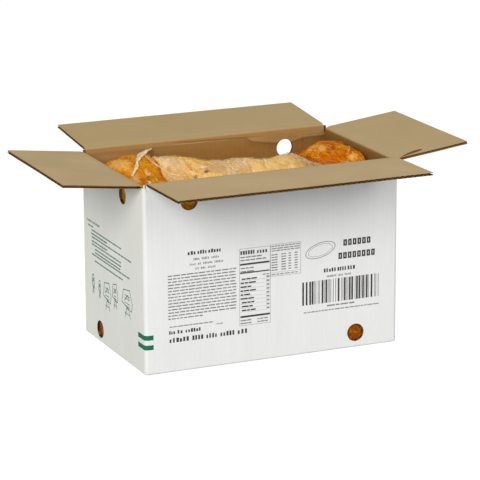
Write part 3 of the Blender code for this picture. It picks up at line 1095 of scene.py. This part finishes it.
def makeBag(index):
    film = bagShape(index)
    film.faces.ensure_lookup_table()
    high = [f for f in film.faces if f.normal.z > 0.15 and f.calc_center_median().z > 0.2]
    edges = list({e for f in high for e in f.edges})
    bmesh.ops.subdivide_edges(film, edges=edges, cuts=1, use_grid_fill=True)
    film.normal_update()
    crease = film.verts.layers.float.new("crease")
    soup = film.copy()
    seed = 7.0 * index
    normals = [v.normal.copy() for v in film.verts]
    film.verts.ensure_lookup_table()
    soup.verts.ensure_lookup_table()
    for vert, low, normal in zip(film.verts, soup.verts, normals):
        spot = Vector((vert.co.x * 36, vert.co.y * 24, vert.co.z * 24 + seed))
        bend = noise.noise_vector(spot * 0.7) * 1.2
        ridge = max(1 - abs(noise.noise(spot + bend)) * 3.2, 0.0)
        small = max(1 - abs(noise.noise(spot * 2.3 + bend)) * 3.6, 0.0)
        lump = noise.fractal(vert.co * 48 + Vector((seed, 0, 0)), 0.7, 2.0, 4) * 0.5 + 0.5
        share = max(nearFold(vert.co.x * 1000, vert.co.y * 1000, fold) for fold in filmFolds[index])
        share *= smoothStep((vert.co.z - skin["foldsAbove"]) * 100)
        raised = min(ridge**2 * 0.65 + small**2 * 0.35, 1.0)
        # The crease strength paints highlight lines on the film
        vert[crease] = min(share * 0.8 + ridge**6 * 0.45 + small**8 * 0.25, 1.0)
        deep = skin["under"] + skin["wrinkle"] * (1 - raised)
        lumpDepth = skin["gap"] + skin["lump"] * min(max(lump, 0.0), 1.0) + skin["wrinkle"] * 0.6
        low.co -= normal * (lumpDepth - skin["fold"] * share)
        vert.co -= normal * (deep * (1 - share))
    soupPiece = finishMesh(f"frozenSoup_{index + 1}", soup, [soupPaint(index)], 180)
    filmPiece = finishMesh(f"clearFilm_{index + 1}", film, [filmPaint(index)], 180)
    for piece in (soupPiece, filmPiece):
        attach(piece, "root")
    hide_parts(f"soup_bag_{index + 1}")


def topAt(x, y):
    # Height of the bags' tops at any place
    index = min(max(int((x + innerX) // bagPitch), 0), bag["count"] - 1)
    across = abs(x - bagMiddle(index)) / (bagPitch / 2)
    along = min(abs(y) / (bag["depth"] / 2), 1.0)
    drop = bag["sideDrop"] * across**4 + bag["endDrop"] * along**6
    return min(bagTop(x, y, bag["lumps"][index]) - drop, bagTopLimit)


# Webs: where two bags meet, soup or slack film bridges the valley
webs = (
    {"seam": 1, "left": 0.008, "right": 0.013, "front": -0.060, "back": 0.088, "sag": 0.0020,
     "rough": 0.0012, "soup": 1, "film": 0},
    {"seam": 2, "left": 0.026, "right": 0.014, "front": -0.080, "back": 0.080, "sag": 0.0022,
     "rough": 0.0014, "soup": 1, "film": 1},
    {"seam": 3, "left": 0.013, "right": 0.032, "front": -0.070, "back": 0.070, "sag": 0.0022,
     "rough": 0.0018, "soup": None, "film": 2},
)
webForm = {"cells": (40, 90), "soupThick": 0.008, "filmThick": 0.0005, "lift": 0.0009,
           "tuck": 0.0022, "arch": 0.0014, "dip": 0.006, "play": 0.0002}


def makeWeb(number, web, clear):
    seam = -innerX + bagPitch * web["seam"]
    lift = webForm["lift"] if clear and web["soup"] is not None else 0.0
    shape = bmesh.new()
    bmesh.ops.create_grid(shape, x_segments=webForm["cells"][0], y_segments=webForm["cells"][1],
                          size=0.5)
    crease = shape.verts.layers.float.new("crease")
    for vert in shape.verts:
        share = vert.co.x + 0.5
        x = seam - web["left"] + share * (web["left"] + web["right"])
        y = web["front"] + (vert.co.y + 0.5) * (web["back"] - web["front"])
        near = topAt(seam - web["left"], y) - webForm["tuck"]
        far = topAt(seam + web["right"], y) - webForm["tuck"]
        edge = smoothStep(min(share, 1 - share) * 6)
        fade = smoothStep((0.5 - abs(vert.co.y)) * 7)
        spot = Vector((x * 60, y * 40, number * 5.0))
        bend = noise.noise_vector(spot * 0.6) * 1.4
        ridge = max(1 - abs(noise.noise(spot + bend)) * 3, 0.0)
        z = near + (far - near) * smoothStep(share) + webForm["arch"] * edge
        z -= web["sag"] * math.sin(math.pi * share) + (1 - fade) * webForm["dip"]
        z += web["rough"] * (ridge - 0.6) * edge
        vert.co = (x, y, min(z + lift, bagTopLimit - webForm["play"]))
        # The crease strength paints highlight lines on the film
        vert[crease] = ridge**7 * 0.7
    thicken(shape, webForm["filmThick" if clear else "soupThick"])
    paint = filmPaint(web["film"], True) if clear else soupPaint(web["soup"], True)
    name = ("filmWeb_" if clear else "soupWeb_") + str(number)
    piece = finishMesh(name, shape, [paint], 180)
    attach(piece, "root")


# Loose film on the first bag: its sealed hem and an edge; centre points and half widths
hem = {
    "edge": ((-0.1125, 0.0840, 0.2645, 0.0004), (-0.1150, 0.0560, 0.2632, 0.0009),
             (-0.1143, 0.0325, 0.2612, 0.0011), (-0.1133, 0.0140, 0.2592, 0.0010),
             (-0.1110, -0.0040, 0.2572, 0.0009), (-0.1035, -0.0170, 0.2560, 0.0008),
             (-0.0940, -0.0270, 0.2550, 0.0004)),
    "points": ((-0.1570, 0.0195, 0.2510, 0.0007), (-0.1510, 0.0250, 0.2555, 0.0021),
               (-0.1450, 0.0318, 0.2600, 0.0026), (-0.1372, 0.0478, 0.2644, 0.0018),
               (-0.1305, 0.0610, 0.2651, 0.0033), (-0.1214, 0.0765, 0.2652, 0.0052),
               (-0.1080, 0.0955, 0.2652, 0.0046), (-0.0965, 0.1080, 0.2652, 0.0030),
               (-0.0885, 0.1125, 0.2652, 0.0003)),
    "steps": 7,
    "side": (0.915, -0.403),
    "thick": 0.0004,
    "wave": 0.0005,
    "curl": 0.0008,
    "uneven": 0.22,
}
# The sealed hem is several layers of film, so it is pale and hardly clear
hemFilm = {"fine": (500, 3, 0.6), "broad": (160, 4, 0.6), "long": (1, 0.3, 1), "share": 0.7,
           "raised": 1.0, "span": (0.38, 0.62), "rough": (0.2, 0.4), "relief": (0.0006, 0.7),
           "level": 0.4}


def makeHem(name, points, paint):
    shape = bmesh.new()
    rows = []
    spine = [Vector(point[:3]) for point in points]
    widths = [point[3] for point in points]
    for number in range(len(spine) - 1):
        before = spine[max(number - 1, 0)]
        after = spine[min(number + 2, len(spine) - 1)]
        for step in range(hem["steps"] + (number == len(spine) - 2)):
            t = step / hem["steps"]
            pull = (after - spine[number]) * 0.5
            push = (spine[number + 1] - before) * 0.5
            middle = (spine[number] * (2 * t**3 - 3 * t**2 + 1) + push * (t**3 - 2 * t**2 + t)
                      + spine[number + 1] * (3 * t**2 - 2 * t**3) + pull * (t**3 - t**2))
            half = widths[number] + (widths[number + 1] - widths[number]) * t
            wave = hem["wave"] * math.sin(number * 2.1 + t * 5)
            half *= 1 + hem["uneven"] * math.sin(number * 3.7 + t * 4.1)
            row = []
            for share in (-1.0, -0.5, 0.0, 0.5, 1.0):
                curl = hem["curl"] * (share * share) + wave * share
                row.append(shape.verts.new((middle.x + hem["side"][0] * half * share,
                                            middle.y + hem["side"][1] * half * share,
                                            min(middle.z - curl, bagTopLimit))))
            rows.append(row)
    ribbon(shape, rows)
    thicken(shape, hem["thick"])
    piece = finishMesh(name, shape, [paint], 60)
    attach(piece, "root")


# Beans frozen at the skin of each bag: place (mm), length and turn
beans = {
    "chosen": ((-71, -11, 9.0, 60), (-54, -10, 9.5, 10), (-30, 19, 4.5, 60), (-131, 13, 9.0, 20),
               (-41, 27, 5.0, -20), (136, 22, 6.0, 70)),
    "more": 14,
    "spread": (180, 95),
    "lengths": (4.5, 7.5),
    "seed": 5,
    "sink": 0.0038,
    "bow": 0.22,
    "shape": (1.0, 0.6, 0.55),
}
beanSkin = {"fine": (600, 3, 0.6), "broad": (60, 3, 0.5), "share": 0.7, "raised": 0.0,
            "span": (0.40, 0.60), "rough": (0.3, 0.5), "relief": (0.0003, 0.5), "level": 0.4}


def makeBeans():
    shape = bmesh.new()
    draw = random.Random(beans["seed"])
    places = list(beans["chosen"])
    farX, farY = beans["spread"]
    for _ in range(beans["more"]):
        places.append((draw.uniform(-farX, farX), draw.uniform(-farY, farY),
                       draw.uniform(*beans["lengths"]), draw.uniform(0, 180)))
    for x, y, long, turn in places:
        made = bmesh.ops.create_uvsphere(shape, u_segments=20, v_segments=12, radius=1.0)["verts"]
        half = long / 2000
        for vert in made:
            bow = beans["bow"] * half * vert.co.x * vert.co.x
            along, across, up = [c * half * share for c, share in zip(vert.co, beans["shape"])]
            vert.co = (along, across - bow, up)
        matrix = Matrix.Translation((x / 1000, y / 1000, topAt(x / 1000, y / 1000) - beans["sink"]))
        matrix = matrix @ Matrix.Rotation(math.radians(turn), 4, "Z")
        bmesh.ops.transform(shape, matrix=matrix, verts=made)
    paint = grainyPaint("beanSkin", beanSkin, (0.16, 0.045, 0.030), (0.34, 0.150, 0.085))
    piece = finishMesh("beans", shape, [paint], 180)
    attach(piece, "root")


# The last bag's loose end, folded down beside the right wall
ear = {"place": (0.1795, -0.0060, 0.2470), "radii": (0.0102, 0.0190, 0.0125), "lump": 0.16}


def makeEar():
    shape = bmesh.new()
    bmesh.ops.create_uvsphere(shape, u_segments=64, v_segments=48, radius=1.0)
    for vert in shape.verts:
        lump = 1 - ear["lump"] * abs(noise.noise(vert.co * 1.9 + Vector((4.0, 1.0, 2.0)))) * 2
        place = Vector([c * r * lump for c, r in zip(vert.co, ear["radii"])])
        vert.co = Vector(ear["place"]) + place
    piece = finishMesh("bagEar", shape, [soupPaint(0, True)], 180)
    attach(piece, "root")


# A bag presses against the wall and swells a little into each lower vent, and at the ends the upper too
swell = {"wide": 0.0170, "tall": 0.0136, "deep": 0.0024, "in": 0.00145, "lump": 0.10}
pressedSkin = {"fine": (500, 3, 0.6), "broad": (70, 4, 0.6, 1.0), "share": 0.75, "raised": 0.7,
               "span": (0.42, 0.62), "rough": (0.22, 0.36), "relief": (0.0012, 0.6), "level": 0.1,
               "coat": 0.12, "coatRough": 0.1}
# Behind the lower vents the soup is painted darker as the shade inside the carton
shadedSwell = grainyPaint("pressedSoup", pressedSkin, (0.20, 0.035, 0.000), (0.46, 0.130, 0.002))
paleSwell = grainyPaint("paleSoup", pressedSkin, (0.42, 0.150, 0.004), (0.74, 0.420, 0.080))


def makeSwell(side, along, z, mark, paint):
    shape = bmesh.new()
    bmesh.ops.create_uvsphere(shape, u_segments=48, v_segments=32, radius=1.0)
    for vert in shape.verts:
        lump = 1 + swell["lump"] * noise.noise(vert.co * 2.2 + Vector((along * 90, z * 40, 0)))
        vert.co = (vert.co.x * swell["wide"], vert.co.y * swell["deep"] * lump,
                   vert.co.z * swell["tall"])
    place = onWall(side, along, z, innerX - swell["in"], innerY - swell["in"])
    turn = Matrix.Rotation(0 if isLong[side] else math.pi / 2, 4, "Z")
    bmesh.ops.transform(shape, matrix=Matrix.Translation(place) @ turn, verts=shape.verts)
    piece = finishMesh("bagSwell_" + side + mark, shape, [paint], 180)
    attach(piece, "root")


for index in range(bag["count"]):
    makeBag(index)
for number, web in enumerate(webs, 1):
    if web["soup"] is not None:
        makeWeb(number, web, False)
    makeWeb(number, web, True)
hemPaint = grainyPaint("filmHem", hemFilm, (0.64, 0.390, 0.130), (0.80, 0.640, 0.400))
makeHem("filmHem", hem["points"], hemPaint)
makeHem("filmEdge", hem["edge"], hemPaint)
makeEar()
makeBeans()
for side, (upper, lower) in body["vents"].items():
    makeSwell(side, *lower, "", shadedSwell)
    if not isLong[side]:
        makeSwell(side, *upper, "_high", paleSwell)
print("bags ready")


# Print: plain blocks and lines where the carton carries words, codes and drawings
ink = {"under": 0.00003, "proud": 0.00007}
panels = {
    "front": (Vector((-halfX, -halfY, 0)), Vector((1, 0, 0)), Vector((0, -1, 0))),
    "right": (Vector((halfX, -halfY, 0)), Vector((0, 1, 0)), Vector((1, 0, 0))),
    "back": (Vector((halfX, halfY, 0)), Vector((-1, 0, 0)), Vector((0, 1, 0))),
    "left": (Vector((-halfX, halfY, 0)), Vector((0, -1, 0)), Vector((-1, 0, 0))),
}


class Plate:
    # Thin closed blocks of one ink on one panel; places are in millimetres from its left foot

    def __init__(self, panel, paint, seed):
        self.panel = panel
        self.paint = paint
        self.shape = bmesh.new()
        self.random = random.Random(seed)

    def matrix(self):
        corner, right, out = panels[self.panel]
        turn = Matrix((right, out, Vector((0, 0, 1)))).transposed().to_4x4()
        return Matrix.Translation(corner) @ turn

    def block(self, left, low, right, high, lean=0.0):
        deep = Vector((left / 1000, -ink["under"], low / 1000))
        near = Vector((right / 1000, ink["proud"], high / 1000))
        made = addBlock(self.shape, deep, near)
        if lean:
            middle = (deep + near) / 2
            turn = Matrix.Rotation(math.radians(lean), 3, "Y")
            bmesh.ops.rotate(self.shape, verts=made, cent=middle, matrix=turn)

    def ring(self, left, low, right, high, stroke):
        self.block(left, low, left + stroke, high)
        self.block(right - stroke, low, right, high)
        self.block(left + stroke, low, right - stroke, low + stroke)
        self.block(left + stroke, high - stroke, right - stroke, high)

    def words(self, left, low, right, tall, letters, gap):
        # A row of word blocks; larger rows are split into letter blocks
        sizes = []
        while sum(sizes) < right - left:
            sizes.append(self.random.uniform(2.2, 6.5) * tall + gap * tall)
        scale = (right - left + gap * tall) / sum(sizes)
        at = left
        for size in sizes:
            long = size * scale - gap * tall
            if letters:
                count = max(round(long / (0.74 * tall)), 1)
                pitch = long / count
                for number in range(count):
                    wide = pitch * self.random.uniform(0.50, 0.74)
                    rise = tall * self.random.choice((1.0, 1.0, 0.78))
                    spot = at + number * pitch
                    self.block(spot, low, spot + wide, low + rise)
            else:
                self.block(at, low, at + long, low + tall)
            at += size * scale

    def code(self, left, low, right, tall, count):
        # A row of ring shapes, as wide as a row of figures
        pitch = (right - left) / count
        for number in range(count):
            start = left + number * pitch
            self.ring(start, low, start + pitch * 0.76, low + tall, tall * 0.25)

    def line(self, points, stroke):
        for (x0, z0), (x1, z1) in zip(points, points[1:]):
            long = math.hypot(x1 - x0, z1 - z0) / 2
            x = (x0 + x1) / 2
            z = (z0 + z1) / 2
            lean = -math.degrees(math.atan2(z1 - z0, x1 - x0))
            self.block(x - long, z - stroke / 2, x + long, z + stroke / 2, lean)

    def finish(self):
        bmesh.ops.transform(self.shape, matrix=self.matrix(), verts=self.shape.verts)
        bmesh.ops.recalc_face_normals(self.shape, faces=self.shape.faces)
        name = self.panel + "Print_" + self.paint.name
        piece = finishMesh(name, self.shape, [self.paint])
        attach(piece, "root")


longPrint = {
    "title": (65, 166.2, 116.5, 5.4),
    "underTitle": ((73.7, 157.8, 112.2, 3.4), (67.9, 151.0, 119, 3.0), (76.4, 144.4, 107.4, 3.0)),
    "paragraph": (35, 138.4, 139, 15, 4.42, 1.7),
    "lastLine": 52,
    "notes": ((36.8, 65.1, 102.5, 1.5), (107.5, 61.4, 117.7, 1.2)),
    "bold": ((36, 55.2, 85, 5.2), (36.6, 43.0, 156.5, 6.6)),
    "margin": 1.6,
    "table": (142.9, 54.0, 190.3, 166.0),
    "tableNotes": ((11.6, 34), (16.0, 41)),
    "tableHead": (27.8, 32.6),
    "tableRows": (9, 46.6, 5.7),
    "tableFoot": (105.2, 109.4),
    "side": (190.3, 120.4, 237.4, 167.0),
    "sideHead": (3.6, 7.0, 10.2),
    "sideRows": (7, 16.0, 3.7),
    "sideColumns": ((1.6, 11), (17, 24), (28, 32), (37.5, 42)),
    "heavy": ((143.8, 141.9, 189.0, 2.6), (143.8, 129.8, 189.0, 1.8), (144.2, 65.7, 189.4, 2.7)),
    "codes": ((304, 152.7, 348.5, 9.2, 6), (296.4, 133.9, 355.5, 9.2, 8)),
    "name": ((273.4, 116.9, 323.6, 5.6), (278.3, 109.2, 316.3, 2.9)),
    "bars": (239.8, 71.8, 360.6, 34.2),
    "barNotes": ((278.5, 66.2, 321.8, 2.1), (242, 60.2, 361, 1.5)),
    "emblem": (268.0, 150.5, 23.5, 10.5, 14),
    "emblemInner": (0.82, 0.76),
}


def printText(dark, grey):
    dark.words(*longPrint["title"], True, 0.2)
    for row in longPrint["underTitle"]:
        grey.words(*row, True, 0.9)
    left, top, right, rows, pitch, tall = longPrint["paragraph"]
    for row in range(rows):
        end = right - grey.random.uniform(0, 3) if row < rows - 1 else left + longPrint["lastLine"]
        grey.words(left, top - row * pitch, end, tall, False, 0.8)
    for row in longPrint["notes"]:
        grey.words(*row, False, 0.7)
    for row in longPrint["bold"]:
        dark.words(*row, True, 0.55)


def printTable(dark, grey):
    # A tall table: a heading, heavy bars, and ruled rows of a name and a figure
    left, low, right, high = longPrint["table"]
    start = left + longPrint["margin"]
    grey.ring(left, low, right, high, 0.5)
    dark.words(start, high - 8.8, right - 3.5, 5.6, True, 0.4)
    for row, end in longPrint["tableNotes"]:
        grey.words(start, high - row - 2.0, left + end, 1.9, False, 0.6)
    for barLeft, barLow, barRight, tall in longPrint["heavy"]:
        dark.block(barLeft, barLow, barRight, barLow + tall)
    for row in longPrint["tableHead"]:
        grey.words(start, high - row - 1.6, left + 22, 1.7, False, 0.6)
    grey.words(right - 12, high - 41.2, right - 2, 1.6, False, 0.6)
    rows, first, pitch = longPrint["tableRows"]
    for row in range(rows):
        foot = high - first - row * pitch
        grey.block(left + 1.4, foot, right - 1.4, foot + 0.25)
        indent = grey.random.choice((1.6, 3.4))
        dark.words(left + indent, foot + 1.4, left + grey.random.uniform(15, 27), 2.1, False, 0.5)
        grey.words(right - 6, foot + 1.4, right - 1.6, 2.2, False, 0.4)
    for row in longPrint["tableFoot"]:
        grey.words(start, high - row, left + 18, 1.7, False, 0.5)
        grey.words(left + 27, high - row, right - 4, 1.7, False, 0.5)


def printSide(grey):
    # A small table of four columns beside the tall one
    left, low, right, high = longPrint["side"]
    start = left + longPrint["margin"]
    grey.ring(left, low, right, high, 0.45)
    for row in longPrint["sideHead"]:
        grey.words(start, high - row, right - 1.5, 1.5, False, 0.7)
    rows, first, pitch = longPrint["sideRows"]
    for row in range(rows):
        foot = high - first - row * pitch
        for columnLeft, columnRight in longPrint["sideColumns"]:
            grey.words(left + columnLeft, foot, left + columnRight, 1.6, False, 0.4)
    grey.block(left + 1.4, low + 5.4, right - 1.4, low + 5.7)
    grey.words(start, low + 2.0, right - 5, 1.5, False, 1.2)


def printBars(dark, grey):
    # Bars of random widths that stand for no code
    left, low, right, tall = longPrint["bars"]
    at = left
    while at < right - 1:
        wide = dark.random.choice((1.0, 1.0, 2.7))
        plate = dark if wide > 2 else grey
        plate.block(at, low, min(at + wide, right), low + tall)
        at += wide + dark.random.choice((1.1, 1.1, 2.8))
    for row in longPrint["barNotes"]:
        grey.words(*row, False, 0.7)


def printEmblem(dark, grey):
    # A plain leaning oval with a thinner one inside
    x, z, wide, tall, lean = longPrint["emblem"]
    turn = math.radians(lean)
    points = []
    for step in range(33):
        angle = 2 * math.pi * step / 32
        u = wide * math.cos(angle)
        v = tall * math.sin(angle)
        points.append((x + u * math.cos(turn) - v * math.sin(turn),
                       z + u * math.sin(turn) + v * math.cos(turn)))
    dark.line(points, 0.7)
    shareX, shareZ = longPrint["emblemInner"]
    grey.line([(x + (px - x) * shareX, z + (pz - z) * shareZ) for px, pz in points], 0.5)


def printLong(panel, seed):
    dark = Plate(panel, blackInk, seed)
    grey = Plate(panel, greyInk, seed + 1)
    printText(dark, grey)
    printTable(dark, grey)
    printSide(grey)
    for place in longPrint["codes"]:
        dark.code(*place)
    dark.words(*longPrint["name"][0], True, 0.2)
    grey.words(*longPrint["name"][1], True, 0.8)
    printBars(dark, grey)
    printEmblem(dark, grey)
    dark.finish()
    grey.finish()


# The short panels: rows of words over five outline drawings: middle, foot, width and height
shortPrint = {
    "head": (18.1, 171.6, 68.4, 3.6),
    "rows": (
        (22, 165.4, 42), (35, 160.2, 151.7), (32.6, 154.8, 95.7), (35.9, 150.2, 189.7),
        (35.6, 144.2, 96.4), (35.3, 139.6, 150.8), (48.2, 134.0, 150.5), (48, 128.9, 147.4),
        (35.4, 124.6, 182.5), (45.9, 116.2, 156.1),
    ),
    "tall": 2.1,
    "drawings": ((38, 66, 10, 30), (64, 66, 8, 27), (94, 56, 30, 42), (125, 66, 22, 38),
                 (172, 66, 40, 42)),
    "outline": ((-1, 0.45), (-0.7, 0.92), (0.5, 1), (1, 0.55), (0.8, 0.3), (-1, 0.45)),
    "stand": ((-0.4, 0), (-0.1, 0.34), (0.35, 0.3), (0.6, 0.02)),
    "bend": ((-0.5, 0.55), (0.1, 0.8), (0.4, 0.62)),
    "bars": (0.14, 0.40, 0.50, 0.66, 0.76),
}


def printShort(panel, seed):
    plate = Plate(panel, greenText, seed)
    plate.words(*shortPrint["head"], True, 0.3)
    for row in shortPrint["rows"]:
        plate.words(*row, shortPrint["tall"], False, 0.5)
    for x, low, wide, tall in shortPrint["drawings"]:
        for name in ("outline", "stand", "bend"):
            plate.line([(x + wide / 2 * u, low + tall * v) for u, v in shortPrint[name]], 1.4)
        for rise in shortPrint["bars"]:
            plate.line([(x - wide / 4, low + tall * rise), (x + wide / 4, low + tall * rise)], 1.1)
    plate.finish()


stripes = {"heights": (0.0365, 0.0505), "tall": 0.007, "short": 0.0256, "long": 0.0127, "steps": 10}


def cornerStripe(number, low, turned):
    # A band of green ink that wraps the upright corner
    radius = carton["cornerRadius"]
    middle = Vector((-halfX + radius, -halfY + radius, 0))
    shape = bmesh.new()
    path = [(Vector((-halfX, -halfY + stripes["short"], 0)), Vector((-1, 0, 0)))]
    for step in range(stripes["steps"] + 1):
        angle = math.pi + math.pi / 2 * step / stripes["steps"]
        out = Vector((math.cos(angle), math.sin(angle), 0))
        path.append((middle + out * radius, out))
    path.append((Vector((-halfX + stripes["long"], -halfY, 0)), Vector((0, -1, 0))))
    rings = []
    for place, out in path:
        ring = []
        for depth, high in ((-ink["under"], 0), (ink["proud"], 0), (ink["proud"], 1),
                            (-ink["under"], 1)):
            spot = place + out * depth
            ring.append(shape.verts.new((spot.x, spot.y, low + high * stripes["tall"])))
        rings.append(ring)
    for first, second in zip(rings, rings[1:]):
        for step in range(4):
            shape.faces.new((first[step], first[(step + 1) % 4], second[(step + 1) % 4],
                             second[step]))
    shape.faces.new(rings[0])
    shape.faces.new(rings[-1])
    bmesh.ops.recalc_face_normals(shape, faces=shape.faces)
    if turned:
        bmesh.ops.rotate(shape, verts=shape.verts, cent=(0, 0, 0),
                         matrix=Matrix.Rotation(math.pi, 3, "Z"))
    piece = finishMesh(f"cornerStripe_{number}", shape, [greenInk])
    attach(piece, "root")


printLong("front", 11)
printLong("back", 11)
printShort("left", 31)
printShort("right", 31)
for number, low in enumerate(stripes["heights"]):
    cornerStripe(number * 2 + 1, low, False)
    cornerStripe(number * 2 + 2, low, True)
print("print ready")


# Floor, light and camera
floor = {"half": 30, "drop": 0.0003, "tone": (0.06, 0.06, 0.06), "glow": (0.30, 0.30, 0.30)}


def makeFloor():
    shape = bmesh.new()
    bmesh.ops.create_grid(shape, x_segments=2, y_segments=2, size=floor["half"])
    paint = Paint("paleFloor")
    paint.set(colour=floor["tone"], rough=0.9, level=0.0)
    seen = paint.add("ShaderNodeLightPath", {}, {}, "Is Camera Ray")
    glow = paint.blend(seen, floor["glow"], (1, 1, 1))
    paint.connect(paint.shader.inputs["Emission Color"], glow)
    paint.shader.inputs["Emission Strength"].default_value = 1.0
    piece = finishMesh("paleFloor", shape, [paint.material])
    piece.location.z = -floor["drop"]


# Soft boxes: place, size and power
light = {
    "world": 0.48,
    "target": (0, 0, 0.15),
    "leftSoftbox": ((-3.924, -3.571, 2.78), 2.8, 248),
    "rightSoftbox": ((2.653, -4.595, 2.78), 2.8, 96),
    "backFill": ((2.4, 2.6, 1.8), 2.0, 26),
}


def areaLight(name, place, size, power):
    data = bpy.data.lights.new(name, "AREA")
    data.shape = "SQUARE"
    data.size = size
    data.energy = power
    lamp = bpy.data.objects.new(name, data)
    lamp.location = place
    aim = Vector(light["target"]) - Vector(place)
    lamp.visible_camera = False
    lamp.rotation_euler = aim.to_track_quat("-Z", "Y").to_euler()
    bpy.context.scene.collection.objects.link(lamp)


def makeLight():
    world = bpy.data.worlds.new("softWhite")
    world.use_nodes = True
    background = world.node_tree.nodes["Background"]
    background.inputs["Color"].default_value = (1, 1, 1, 1)
    background.inputs["Strength"].default_value = light["world"]
    bpy.context.scene.world = world
    for name in ("leftSoftbox", "rightSoftbox", "backFill"):
        areaLight(name, *light[name])


view = {
    "place": (-1.4591, -3.3124, 1.1199),
    "heading": 23.794,
    "down": 15.085,
    "roll": -0.24,
    "focalPixels": 2600.2,
    "framePixels": 480,
    "sensor": 36.0,
}


def makeCamera():
    heading = math.radians(view["heading"])
    down = math.radians(view["down"])
    forward = Vector((math.sin(heading) * math.cos(down), math.cos(heading) * math.cos(down),
                      -math.sin(down)))
    right = Vector((math.cos(heading), -math.sin(heading), 0))
    up = right.cross(forward)
    turn = Matrix((right, up, -forward)).transposed()
    roll = Matrix.Rotation(math.radians(view["roll"]), 3, "Z")
    data = bpy.data.cameras.new("camera")
    data.sensor_width = view["sensor"]
    data.lens = view["focalPixels"] / view["framePixels"] * view["sensor"]
    data.clip_end = 100
    camera = bpy.data.objects.new("camera", data)
    camera.matrix_world = Matrix.Translation(view["place"]) @ (turn @ roll).to_4x4()
    bpy.context.scene.collection.objects.link(camera)
    bpy.context.scene.camera = camera


makeFloor()
makeLight()
makeCamera()
bpy.context.scene.view_settings.view_transform = "Standard"
print("floor, light and camera ready")
